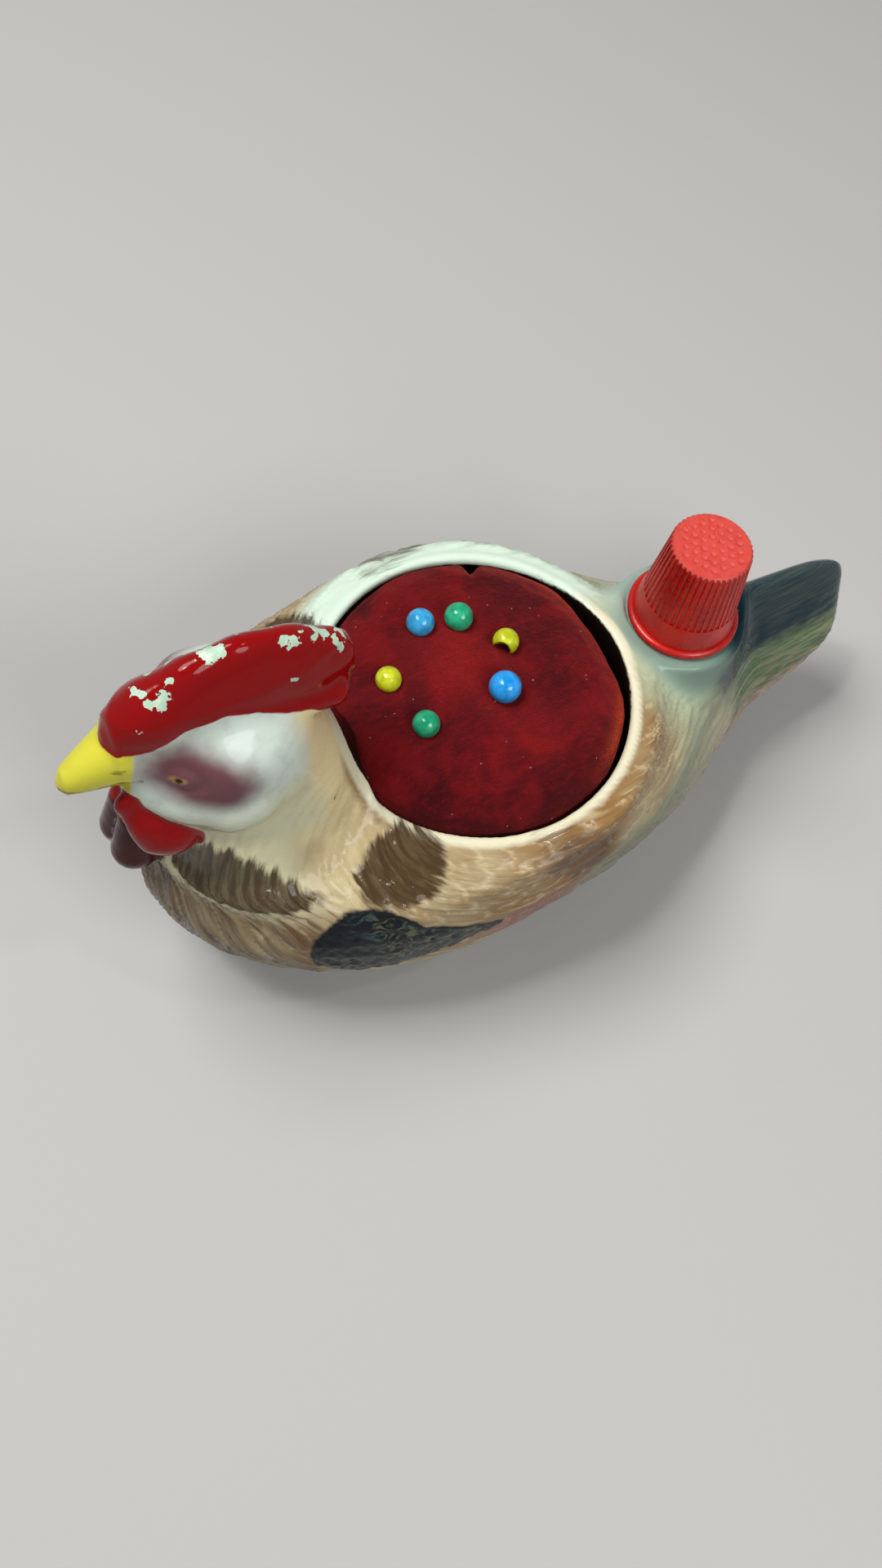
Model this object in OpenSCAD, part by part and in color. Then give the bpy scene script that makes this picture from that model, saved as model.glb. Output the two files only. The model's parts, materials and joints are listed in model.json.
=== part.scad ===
// Ceramic hen pincushion with a velvet cushion, ball-head pins and a thimble on its post.
// Millimetres. The hen faces -X, +Z is up, and the origin is the middle of the flat foot.

/* [Body] */
// Height of the opening's rim above the table
rim_h = 42; // [39:0.5:46]
// Greatest width, across the wings
body_w = 63.5; // [61:0.5:69]
// Front of the breast, ahead of the opening's axis
breast_reach = 56.5; // [54:0.5:60]
// Back of the rump, behind the opening's axis
rump_reach = 53; // [50:0.5:56]
// Length of the flat foot
foot_l = 48; // [42:1:54]
// Width of the flat foot
foot_w = 34; // [30:1:40]
// Opening's axis, behind the middle of the foot
opening_x = 8; // [5:0.5:11]

/* [Opening] */
// Diameter of the round opening
opening_d = 50; // [48:0.5:52]
// Width of the cream rim band round the opening
rim_w = 2.8; // [2.4:0.1:3.6]
// Widest diameter of the bowl, below the rim
bowl_d = 53; // [51.5:0.5:54.5]
// Thickness of the floor under the cushion
floor_t = 8; // [6:0.5:9.5]

/* [Head] */
// Skull's top above the rim
skull_rise = 32.5; // [31:0.5:34]
// Skull's middle, ahead of the opening's axis
head_x = 45.5; // [44:0.5:47]
// Width of the head across the cheeks
head_w = 23; // [21:0.5:25]
// Length of the head, without the beak
head_l = 29; // [27:0.5:31]
// Beak's tip, ahead of the opening's axis
beak_reach = 66; // [64:0.5:69]
// Beak's tip above the rim
beak_rise = 20.5; // [19:0.5:22]
// Width of the beak at its root
beak_w = 10.5; // [9:0.5:12]
// Height of the beak at its root
beak_h = 11; // [9.5:0.5:12]

/* [Comb and wattles] */
// Comb's highest point above the rim
comb_rise = 40; // [38:0.5:42]
// Comb's thickness at its root
comb_t = 8.6; // [7:0.2:10]
// How far the comb runs from its front to its back tip
comb_l = 35.5; // [33:0.5:38]
// Length of each cheek wattle
wattle_l = 12; // [10:0.5:14]
// Width of each cheek wattle
wattle_w = 8.5; // [7:0.5:10]
// Height of the pair of throat lobes under the beak
lobe_h = 17; // [15:0.5:19]
// Width of the pair of throat lobes
lobe_w = 9.5; // [8:0.5:11]

/* [Wings and tail] */
// How far the wing feathers stand out of the flank
feather_t = 1.2; // [0.8:0.1:1.6]
// Flight feathers on each wing
feather_n = 5; // [3:1:6]
// Sickle feathers round the tail
tail_feathers = 10; // [6:2:12]
// Tail's end, behind the opening's axis
tail_reach = 77; // [73:0.5:81]
// Tail's thickness at mid length
tail_w = 20; // [17:0.5:23]
// Depth of the tail from its ridge to its lower edge, at mid length
tail_h = 28; // [24:0.5:30]

/* [Thimble seat] */
// Thimble's axis, behind the opening's axis
post_x = 40; // [39:0.5:42]
// Drop of the thimble's seat below the rim
seat_drop = 2.2; // [1.5:0.1:3]
// Width of the seat outside the thimble's rim
seat_lip = 0.9; // [0.5:0.1:1.5]
// Diameter of the post at its foot
post_d = 10.6; // [9:0.2:11.6]
// Height of the post
post_h = 8.6; // [7:0.2:10]

/* [Thimble] */
// Outer diameter at the rolled rim
thimble_d = 19; // [18:0.5:20]
// Diameter of the dimpled crown
crown_d = 13.3; // [12.5:0.1:14]
// Height of the thimble
thimble_h = 18.8; // [17.5:0.1:20]
// Thickness of the wall
thimble_wall = 1.0; // [0.8:0.1:1.2]
// Diameter of the rolled rim's bead
bead_d = 1.5; // [1.2:0.1:1.8]
// Height of the smooth skirt below the flutes
skirt_h = 5.6; // [4:0.2:7]
// Flutes round the side
flute_n = 44; // [30:1:52]
// Depth of one flute
flute_depth = 0.32; // [0.2:0.02:0.4]
// Distance from dimple to dimple on the crown
dimple_pitch = 1.65; // [1.5:0.05:1.9]
// Depth of one dimple
dimple_depth = 0.28; // [0.15:0.01:0.35]

/* [Cushion] */
// Gap between the velvet and the ceramic
cushion_gap = 0.5; // [0.3:0.1:0.8]
// Rise of the cushion's crown above the rim
crown_rise = 3.4; // [2.5:0.1:4.5]
// Thickness of the velvet with its backing
velvet_t = 0.9; // [0.7:0.1:1.2]
// Pleats where the velvet is drawn in
pleat_n = 11; // [8:1:13]
// Depth of one pleat at the rim
pleat_depth = 0.7; // [0.4:0.1:0.9]
// Diameter of the card under the stuffing
card_d = 30; // [27:0.5:32]
// Thickness of the card
card_t = 1.2; // [0.8:0.1:1.6]
// Diameter of the hole left where the velvet is gathered
hem_d = 20; // [16:0.5:23]
// Thickness of the gathering thread
thread_d = 0.7; // [0.5:0.1:0.9]

/* [Pins] */
// Length of a pin below its head
pin_l = 28; // [26:0.5:30]
// Diameter of a pin's shaft
shaft_d = 0.6; // [0.5:0.05:0.8]
// Length of a pin's tapered point
point_l = 3; // [2:0.5:4]

/* [Hidden] */

// Running clearance of a pin in the cushion, and of two pieces that lie on each other
pin_play = 0.06;
seat_play = 0.1;
soft_play = 0.3;
recess_gap = 0.4;

// Where each pin stands from the opening's axis, its lean in degrees and its head's diameter
PINS = [
    [-4.4, 12.2, [3, 5], 4.6, "deepskyblue"],
    [1.6, 10.2, [-4, 3], 4.7, "seagreen"],
    [6.6, 3.4, [4, -5], 4.3, "gold"],
    [-13.2, 4.8, [-3, -4], 4.2, "gold"],
    [2, -4.2, [2, 2], 5.2, "dodgerblue"],
    [-11.8, -4.8, [-5, 3], 4.4, "seagreen"]
];
// The chipped head, the way from its middle to the bite's, and the bite's tilt and turn
CHIPPED = 2;
BITE = [-0.73, -0.52, -0.45];
BITE_TURN = [0, 27, -129];

opening_r = opening_d / 2;
rim_r = opening_r + rim_w;
half_w = body_w / 2;
seat_h = rim_h - seat_drop;
seat_r = thimble_d / 2 + seat_lip;

// Value c of a smooth curve through the rows [u, value, value, ...] of k, at u
function row_at(k, u, i = 0) = i >= len(k) - 2 || u <= k[i + 1][0] ? i : row_at(k, u, i + 1);
function slope(k, i, c) = let (a = max(i - 1, 0), b = min(i + 1, len(k) - 1))
    (k[b][c] - k[a][c]) / (k[b][0] - k[a][0]);
function curve(k, u, c) = let (
        i = row_at(k, u),
        h = k[i + 1][0] - k[i][0],
        t = (u - k[i][0]) / h
    )
    (2 * t ^ 3 - 3 * t ^ 2 + 1) * k[i][c] + (t ^ 3 - 2 * t ^ 2 + t) * h * slope(k, i, c)
    + (3 * t ^ 2 - 2 * t ^ 3) * k[i + 1][c] + (t ^ 3 - t ^ 2) * h * slope(k, i + 1, c);

// Closed skin over rings of equal length, with a flat cap on the first and the last. Seen from
// where the rings are heading, each runs anticlockwise
module skin(rings) {
    n = len(rings[0]);
    m = len(rings);
    sides = [for (j = [0 : m - 2], i = [0 : n - 1], half = [0, 1])
        let (a = j * n + i, b = j * n + (i + 1) % n, c = a + n, d = b + n)
        half == 0 ? [a, c, d] : [a, d, b]];
    caps = [[for (i = [0 : n - 1]) i], [for (i = [n - 1 : -1 : 0]) (m - 1) * n + i]];
    polyhedron(points = [for (r = rings) each r], faces = concat(sides, caps), convexity = 6);
}

// Heights as shares of the rim's height, then the widest point's place along X, the reach
// ahead of it, the reach behind it and the half width
BODY = [
    [0, 0, foot_l / 2, foot_l / 2, foot_w / 2],
    [0.03, 0, foot_l / 2 + 1.6, foot_l / 2 + 1.6, foot_w / 2 + 1.6],
    [0.24, -3, breast_reach - opening_x - 11.5, rump_reach + opening_x - 10, half_w * 0.82],
    [0.46, -2, breast_reach - opening_x - 2.6, rump_reach + opening_x + 2, half_w * 0.96],
    [0.68, -1, breast_reach - opening_x - 1.5, rump_reach + opening_x - 7, half_w],
    [0.87, 1, breast_reach - opening_x - 7, rump_reach + opening_x - 19, half_w * 0.945],
    [0.95, opening_x - 1, rim_r + 2.6, rim_r + 3.4, rim_r + 1.7],
    [1, opening_x, rim_r, rim_r, rim_r]
];
BODY_LEVELS = concat([0, 0.03, 0.1, 0.19, 0.27], [for (i = [0 : 15]) 0.33 + 0.035 * i], [0.9, 0.945, 0.975, 1]);
BODY_SIDES = 72;

function clamp(v) = max(0, min(1, v));
function step(v) = let (t = clamp(v)) t * t * (3 - 2 * t);

// Height of the wing's relief at share f of the rim's height and angle m from the rump: a smooth
// shoulder, then flight feathers that overlap like tiles and end one behind the other
WING = [0.34, 0.82, 130, 36];
function wing_relief(f, m) = let (
        back = (WING[2] - m) / (WING[2] - WING[3]),
        v = (f - WING[0] - 0.04 * back) / (WING[1] - WING[0]) * feather_n,
        k = floor(v),
        tile = v - k,
        tip = 0.7 + 0.3 * k / feather_n,
        shoulder = step((0.42 - back) / 0.1),
        flight = step((back - 0.34) / 0.08) * step((tip - back) / 0.07)
    )
    v < 0 || v > feather_n || back < 0 ? 0
    : feather_t * step(v / 0.4) * step((feather_n - v) / 0.5)
      * (shoulder * step(back / 0.12) * 1.15 + flight * (1 - 0.7 * tile));

// Point of the body's skin at share f of the rim's height and angle a, 180 being the breast
function body_point(f, a) = let (
        out = wing_relief(f, a > 180 ? 360 - a : a),
        reach = curve(BODY, f, cos(a) < 0 ? 2 : 3) + out,
        half = curve(BODY, f, 4) + out
    )
    [curve(BODY, f, 1) + reach * cos(a), half * sin(a), f * rim_h];

module body_skin() {
    lip = 0.9;
    rings = concat(
        [for (f = BODY_LEVELS) [for (i = [0 : BODY_SIDES - 1]) body_point(f, i * 360 / BODY_SIDES)]],
        [[for (i = [0 : BODY_SIDES - 1]) let (a = i * 360 / BODY_SIDES)
            [opening_x + (rim_r - lip) * cos(a), (rim_r - lip) * sin(a), rim_h + lip * 0.6]]]
    );
    skin(rings);
}

// Heights as shares of the skull's rise, then the middle's place along X, the reach ahead of it,
// the reach behind it and the half width. The foot flares out to run into the breast
head_mid = opening_x - head_x;
NECK = [
    [-0.42, head_mid + 9.5, head_l * 0.52, head_l * 0.56, head_w * 0.9],
    [-0.25, head_mid + 8.2, head_l * 0.55, head_l * 0.59, head_w * 0.92],
    [-0.1, head_mid + 7.1, head_l * 0.55, head_l * 0.6, head_w * 0.86],
    [0.05, head_mid + 6.1, head_l * 0.52, head_l * 0.595, head_w * 0.74],
    [0.18, head_mid + 5, head_l * 0.485, head_l * 0.59, head_w * 0.62],
    [0.34, head_mid + 3, head_l * 0.455, head_l * 0.58, head_w * 0.525],
    [0.55, head_mid + 0.6, head_l * 0.465, head_l * 0.57, head_w * 0.53],
    [0.74, head_mid + 0.6, head_l * 0.43, head_l * 0.51, head_w * 0.47],
    [0.88, head_mid + 1.6, head_l * 0.33, head_l * 0.37, head_w * 0.32],
    [0.97, head_mid + 2, head_l * 0.2, head_l * 0.22, head_w * 0.15],
    [1, head_mid + 2, head_l * 0.08, head_l * 0.08, head_w * 0.05]
];
NECK_LEVELS = [-0.42, -0.25, -0.1, 0.02, 0.12, 0.22, 0.34, 0.45, 0.55, 0.66, 0.76, 0.85, 0.92, 1];
NECK_SIDES = 48;

// Half width of the head at share f of the skull's rise and angle a: the brow narrows to the beak
function brow(f, a) = curve(NECK, f, 4) * (1 - 0.3 * step((-cos(a) - 0.1) / 0.8) * step((f - 0.5) / 0.25));

module neck_and_head() {
    skin([for (f = NECK_LEVELS) [for (i = [0 : NECK_SIDES - 1])
        let (a = i * 360 / NECK_SIDES, reach = curve(NECK, f, cos(a) < 0 ? 2 : 3))
        [curve(NECK, f, 1) + reach * cos(a), brow(f, a) * sin(a), rim_h + f * skull_rise]]]);
}

// Ear lobe on each cheek, below and behind the eye
module ear_lobes() {
    for (side = [-1, 1])
        translate([head_mid + 1.3, side * head_w * 0.48, rim_h + skull_rise * 0.44])
            blob(4.6, 2.1, 3.4, 16);
}

// Rounded blob, given its half sizes
module blob(x, y, z, fn = 24) {
    scale([x, y, z]) sphere(r = 1, $fn = fn);
}

// Beak: an upper bill that hooks down to its tip, over a lower bill set back under it
module beak() {
    root = [head_mid - head_l * 0.33, 0, rim_h + beak_rise + beak_h * 0.36];
    tip = [opening_x - beak_reach + 1.2, 0, rim_h + beak_rise];
    hull() {
        translate(root)
            blob(4, beak_w / 2, beak_h / 2, 20);
        translate(root + (tip - root) * 0.55 + [0, 0, beak_h * 0.1])
            blob(3, beak_w * 0.31, beak_h * 0.29, 16);
        translate(tip)
            blob(1.3, 1.2, 1.5, 12);
    }
    hull() {
        translate(root - [0, 0, beak_h * 0.36])
            blob(3, beak_w * 0.38, 2.2, 12);
        translate(root + (tip - root) * 0.6 - [0, 0, beak_h * 0.24])
            blob(1.6, beak_w * 0.16, 1.2, 12);
    }
}

// Comb's outline from the side: share of its length from the back tip, height of its top edge and
// of its lower edge as shares of its rise, and its half thickness as a share of its root's
COMB = [
    [0, 0.7, 0.68, 0.2],
    [0.04, 0.77, 0.62, 0.45],
    [0.14, 0.85, 0.56, 0.74],
    [0.3, 0.93, 0.6, 0.94],
    [0.5, 0.98, 0.63, 1],
    [0.64, 0.98, 0.65, 1],
    [0.8, 0.89, 0.655, 0.92],
    [0.92, 0.78, 0.65, 0.74],
    [0.98, 0.715, 0.655, 0.46],
    [1, 0.69, 0.67, 0.2]
];
comb_back = opening_x - head_x + head_l * 0.78;

module comb() {
    skin([for (t = [0, 0.02, 0.06, 0.12, 0.2, 0.3, 0.4, 0.5, 0.6, 0.7, 0.8, 0.87, 0.93, 0.97, 1])
        [for (i = [13 : -1 : 0])
            let (a = i * 360 / 14, top = curve(COMB, t, 1) * comb_rise, low = curve(COMB, t, 2) * comb_rise,
                 half = curve(COMB, t, 3) * comb_t / 2)
            [comb_back - t * comb_l, half * cos(a) * (1.05 - 0.45 * sin(a)),
             rim_h + (top + low) / 2 + (top - low) / 2 * sin(a)]]]);
    // Lower tier at the back of the comb, on each side
    for (side = [-1, 1])
        translate([comb_back - comb_l * 0.31, side * comb_t * 0.34, rim_h + comb_rise * 0.66])
            rotate([0, 7, 0])
                blob(comb_l * 0.2, comb_t * 0.3, comb_rise * 0.075, 24);
}

module wattles() {
    jaw = [head_mid - head_l * 0.37, head_w * 0.15, rim_h + beak_rise - 3];
    tip = jaw + [wattle_l * 0.42, head_w * 0.18, -wattle_l * 0.68];
    for (side = [-1, 1])
        hull() {
            translate([jaw[0], side * jaw[1], jaw[2]])
                blob(2.2, 2, 2.2, 10);
            translate([jaw[0] * 0.4 + tip[0] * 0.6, side * (jaw[1] * 0.4 + tip[1] * 0.6), jaw[2] * 0.4 + tip[2] * 0.6])
                blob(wattle_w * 0.5, 2.5, wattle_w * 0.5, 14);
            translate([tip[0], side * tip[1], tip[2]])
                blob(wattle_w * 0.38, 2.3, wattle_w * 0.38, 12);
        }
    // Pair of throat lobes, joined along the middle and lying on the breast
    for (side = [-1, 1])
        hull() {
            translate([opening_x - breast_reach - 1.2, side * lobe_w * 0.22, rim_h - lobe_h * 0.1])
                blob(4, lobe_w * 0.36, lobe_w * 0.45, 16);
            translate([opening_x - breast_reach - 1, side * lobe_w * 0.18, rim_h + lobe_h * 0.47])
                blob(3.2, lobe_w * 0.3, lobe_w * 0.34, 12);
            translate([head_mid - head_l * 0.34, side * lobe_w * 0.08, rim_h + lobe_h * 0.85])
                blob(2.4, lobe_w * 0.22, 2.4, 10);
        }
}

// Tail: share from the seat to the tail's end, height of the ridge and of the lower edge below
// the rim, and the half width as a share of the tail's width
TAIL = [
    [0, -9, -33, 0.9],
    [0.22, -5, -32.5, 0.84],
    [0.42, -2.6, -31, 0.63],
    [0.62, -2.6, -1.6 - tail_h, 0.5],
    [0.8, -3, -2 - tail_h * 0.88, 0.43],
    [0.92, -4.8, -2 - tail_h * 0.74, 0.34],
    [0.98, -7.2, -2 - tail_h * 0.6, 0.22],
    [1, -10, -2 - tail_h * 0.48, 0.06]
];
TAIL_LEVELS = [0, 0.22, 0.36, 0.5, 0.64, 0.76, 0.86, 0.93, 0.975, 1];
tail_root = opening_x + rump_reach * 0.6;
tail_span = opening_x + tail_reach - tail_root;

// Half width of the tail at share s down from its ridge: a steep tent that rounds in underneath
tent_foot = 0.78;
function tent(s) = s < tent_foot ? 0.13 * min(1, sqrt(s / 0.03)) + 0.87 * s / tent_foot
    : sqrt(max(0, 1 - ((s - tent_foot) / (1 - tent_foot)) ^ 2));

// Point of the tail's skin at share t of its length and angle a, 90 being the ridge, with the
// long sickle feathers standing out between grooves along its sides
function tail_point(t, a) = let (
        top = curve(TAIL, t, 1),
        low = curve(TAIL, t, 2),
        s = (1 - sin(a)) / 2,
        ridge = feather_t * 0.7 * step((t - 0.3) / 0.15) * step((1 - t) / 0.1),
        out = ridge * (0.5 - 0.5 * cos(360 * s * tail_feathers / 2)) * sin(180 * s),
        side = sign(cos(a))
    )
    [tail_root + t * tail_span,
     abs(cos(a)) < 0.001 ? 0 : side * (curve(TAIL, t, 3) * tail_w * tent(s) + out),
     rim_h + top + (low - top) * s];
TAIL_SIDES = 36;

module tail() {
    skin([for (t = TAIL_LEVELS) [for (i = [0 : TAIL_SIDES - 1]) tail_point(t, i * 360 / TAIL_SIDES)]]);
}

// Seat that the thimble's rim stands on, blended down into the rump
module thimble_seat() {
    translate([opening_x + post_x, 0, 0])
        rotate_extrude($fn = 32)
            polygon([
                [0, rim_h * 0.3], [seat_r + 4.9, rim_h * 0.3], [seat_r + 4.4, rim_h * 0.45],
                [seat_r + 3.4, seat_h - 11], [seat_r + 2, seat_h - 6], [seat_r + 0.9, seat_h - 2.8],
                [seat_r + 0.3, seat_h - 0.6], [seat_r - 0.2, seat_h + 0.3], [0, seat_h + 0.3]
            ]);
}

// Room for the thimble's rim above its seat, let into the rim of the opening and the tail's root
module seat_recess() {
    translate([opening_x + post_x, 0, seat_h])
        cylinder(d = thimble_d + 2 * recess_gap, h = thimble_h, $fn = 64);
}

// Post inside the thimble, a blunt cone with a rounded top
module thimble_post() {
    translate([opening_x + post_x, 0, seat_h - 1])
        rotate_extrude($fn = 32)
            polygon([
                [0, 0], [post_d / 2, 0], [post_d / 2, 1], [post_d / 2 - 0.9, post_h - 0.4],
                [post_d / 2 - 1.8, post_h + 0.7], [post_d / 2 - 2.8, post_h + 1], [0, post_h + 1]
            ]);
}

// Inside of the bowl, with the round opening above it
module bowl_hollow() {
    translate([opening_x, 0, 0])
        rotate_extrude($fn = 48)
            polygon([
                [0, floor_t], [card_d / 2 + 1.5, floor_t], [bowl_d / 2 - 6.5, floor_t + 3],
                [bowl_d / 2 - 3, floor_t + 8], [bowl_d / 2 - 0.7, floor_t + 14], [bowl_d / 2, rim_h * 0.67],
                [bowl_d / 2 - 0.7, rim_h - 8],
                [opening_r + 0.2, rim_h - 2.2], [opening_r, rim_h - 0.8], [opening_r + 0.5, rim_h + 0.1],
                [opening_r + 1.2, rim_h + 0.7], [opening_r - 2, rim_h + crown_rise + 0.2],
                [0, rim_h + 2 * crown_rise]
            ]);
}

module ceramic_hen() {
    color("tan")
        difference() {
            union() {
                difference() {
                    union() {
                        body_skin();
                        tail();
                        neck_and_head();
                        ear_lobes();
                        thimble_seat();
                    }
                    bowl_hollow();
                    seat_recess();
                }
                thimble_post();
                beak();
                comb();
                wattles();
            }
            translate([0, 0, -50])
                cube([300, 200, 100], center = true);
        }
}

// Radius of the bowl inside the ceramic, less the gap, at height z
cover_r = opening_r - cushion_gap;
belly_r = bowl_d / 2 - cushion_gap - 0.6;
cover_low = floor_t + soft_play;

// Cover's profile from the crown down the outside to the hem: radius, height, pleat share
COVER = [
    [0.4, rim_h + crown_rise, 0],
    [8.5, rim_h + crown_rise - 0.3, 0],
    [13, rim_h + crown_rise - 0.85, 0.05],
    [17, rim_h + crown_rise * 0.6, 0.1],
    [20.3, rim_h + crown_rise * 0.34, 0.25],
    [cover_r - 2, rim_h + crown_rise * 0.1, 0.5],
    [cover_r - 0.6, rim_h - 1, 0.8],
    [cover_r - 0.1, rim_h - 3.6, 0.9],
    [belly_r - 0.6, rim_h - 11, 0.6],
    [belly_r - 1, floor_t + 14.5, 0.5],
    [belly_r - 3.4, floor_t + 8.2, 0.6],
    [belly_r - 7, floor_t + 3.4, 0.6],
    [card_d / 2 + 0.4, cover_low + 0.2, 0.4],
    [card_d / 2 - 2, cover_low, 0.2],
    [hem_d / 2 + thread_d + seat_play, cover_low, 0]
];
COVER_SIDES = pleat_n * 4;

// Inside of the velvet: the same profile, one velvet thickness in
STUFFING = [
    [0.4, rim_h + crown_rise - velvet_t],
    [8.5, rim_h + crown_rise - 0.3 - velvet_t],
    [13, rim_h + crown_rise - 0.9 - velvet_t],
    [17, rim_h + crown_rise * 0.6 - velvet_t * 1.1],
    [20, rim_h + crown_rise * 0.34 - velvet_t * 1.2],
    [cover_r - pleat_depth - velvet_t - 1.5, rim_h - 1.6],
    [cover_r - pleat_depth - velvet_t, rim_h - 6.5],
    [belly_r - pleat_depth - velvet_t - 0.8, rim_h - 12],
    [belly_r - pleat_depth - velvet_t - 1.2, floor_t + 15],
    [belly_r - pleat_depth - velvet_t - 3.8, floor_t + 9],
    [belly_r - pleat_depth - velvet_t - 7.2, floor_t + 4.4],
    [card_d / 2, cover_low + velvet_t + card_t + 0.2]
];

function pleated(r, share, a) = r - pleat_depth * share * (0.5 - 0.5 * cos(pleat_n * a + 60 * sin(a)));

module pin_holes() {
    for (p = PINS)
        at_pin(p)
            translate([0, 0, -pin_l - 1])
                cylinder(d = shaft_d + 2 * pin_play, h = pin_l + 3, $fn = 24);
}

module cushion_cover() {
    outer = [for (c = COVER) [for (i = [COVER_SIDES - 1 : -1 : 0])
        let (a = i * 360 / COVER_SIDES, r = pleated(c[0], c[2], a))
        [opening_x + r * cos(a), r * sin(a), c[1]]]];
    inner = [for (j = [len(STUFFING) : -1 : 0])
        let (c = j == len(STUFFING) ? [hem_d / 2 + thread_d + seat_play, cover_low + velvet_t] : STUFFING[j],
             low = j == len(STUFFING) - 1 ? cover_low + velvet_t : c[1],
             wide = j == len(STUFFING) - 1 ? card_d / 2 + seat_play : c[0])
        [for (i = [COVER_SIDES - 1 : -1 : 0]) let (a = i * 360 / COVER_SIDES)
            [opening_x + wide * cos(a), wide * sin(a), low]]];
    color("darkred")
        difference() {
            skin(concat(outer, inner));
            pin_holes();
        }
}

module cushion_filling() {
    color("wheat")
        difference() {
            translate([opening_x, 0, 0])
                rotate_extrude($fn = 72)
                    polygon(concat(
                        [[0, STUFFING[0][1] - seat_play]],
                        [for (c = STUFFING) [c[0] - 2 * seat_play, c[1] - seat_play]],
                        [[0, cover_low + velvet_t + card_t + 0.1]]
                    ));
            pin_holes();
        }
}

module cushion_card() {
    color("burlywood")
        translate([opening_x, 0, cover_low + velvet_t])
            cylinder(d = card_d, h = card_t, $fn = 64);
}

module gathering_thread() {
    color("ivory")
        translate([opening_x, 0, cover_low + velvet_t / 2])
            rotate_extrude($fn = 48)
                translate([hem_d / 2 + thread_d / 2, 0])
                    circle(d = thread_d, $fn = 16);
}

// Height of the velvet over the opening's axis at distance r from it
CROWN_LINE = [for (i = [0 : 5]) [COVER[i][0], COVER[i][1]]];
function crown_at(r) = curve(CROWN_LINE, max(r, COVER[0][0]), 1);

// Places its children at the underside of a pin's head, with the pin's own lean
module at_pin(p) {
    translate([opening_x + p[0], p[1], crown_at(norm([p[0], p[1]])) + seat_play * 2])
        rotate([p[2][0], p[2][1], 0])
            children();
}

module pin_head(i) {
    p = PINS[i];
    r = p[3] / 2;
    color(p[4])
        at_pin(p)
            difference() {
                translate([0, 0, r])
                    sphere(r = r, $fn = 48);
                translate([0, 0, -1])
                    cylinder(d = shaft_d, h = r * 1.5 + 1, $fn = 24);
                if (i == CHIPPED)
                    translate([0, 0, r] + BITE * r)
                        rotate(BITE_TURN)
                            cylinder(r = r * 0.78, h = r * 4, center = true, $fn = 40);
            }
}

module pin_shaft(i) {
    p = PINS[i];
    color("silver")
        at_pin(p)
            translate([0, 0, -pin_l]) {
                cylinder(d1 = 0.04, d2 = shaft_d, h = point_l, $fn = 24);
                translate([0, 0, point_l])
                    cylinder(d = shaft_d, h = pin_l - point_l + p[3] * 0.7, $fn = 24);
            }
}

// Thimble: a tapered cup with a rolled rim, a fluted side and a dimpled crown
side_low = bead_d * 0.6;
skirt_r = thimble_d / 2 - bead_d * 0.5;
fluted_r = crown_d / 2 + (skirt_r - crown_d / 2) * 0.62;

module thimble_body() {
    rotate_extrude($fn = 96)
        difference() {
            union() {
                polygon([
                    [0, 0.4], [skirt_r, 0.4], [skirt_r - 0.15, side_low + 0.6],
                    [fluted_r, skirt_h], [crown_d / 2, thimble_h - 0.5],
                    [crown_d / 2 - 0.5, thimble_h], [0, thimble_h]
                ]);
                translate([thimble_d / 2 - bead_d / 2, bead_d / 2])
                    circle(d = bead_d, $fn = 24);
            }
            polygon([
                [-1, -1], [skirt_r - thimble_wall, -1], [skirt_r - thimble_wall, side_low + 0.6],
                [fluted_r - thimble_wall, skirt_h], [crown_d / 2 - thimble_wall, thimble_h - thimble_wall * 1.4],
                [-1, thimble_h - thimble_wall * 1.4]
            ]);
        }
}

module flutes() {
    rise = thimble_h - skirt_h;
    lean = atan((fluted_r - crown_d / 2) / rise);
    for (i = [0 : flute_n - 1])
        rotate([0, 0, i * 360 / flute_n])
            translate([fluted_r + 0.42 - flute_depth, 0, skirt_h])
                rotate([0, -lean, 0])
                    translate([0, 0, 0.4])
                        cylinder(r = 0.42, h = rise + 2, $fn = 16);
}

module dimples() {
    ball = 0.75;
    rows = floor(crown_d / 2 / dimple_pitch);
    for (i = [-rows : rows], j = [-rows : rows])
        let (x = dimple_pitch * (i + j / 2), y = dimple_pitch * j * sqrt(3) / 2)
            if (norm([x, y]) < crown_d / 2 - 1.2)
                translate([x, y, thimble_h + ball - dimple_depth])
                    sphere(r = ball, $fn = 16);
}

module thimble() {
    color("red")
        translate([opening_x + post_x, 0, seat_h + seat_play])
            difference() {
                thimble_body();
                flutes();
                dimples();
            }
}

ceramic_hen();
cushion_cover();
cushion_filling();
cushion_card();
gathering_thread();
thimble();
for (i = [0 : len(PINS) - 1]) {
    pin_head(i);
    pin_shaft(i);
}
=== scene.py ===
"""Looks of the ceramic hen pincushion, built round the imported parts.

Lengths in the formulas are millimetres in the part's frame, and meshes are made in metres."""
import json
import math

import bpy
import numpy as np
import openvdb
from mathutils import Matrix, Vector


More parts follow.
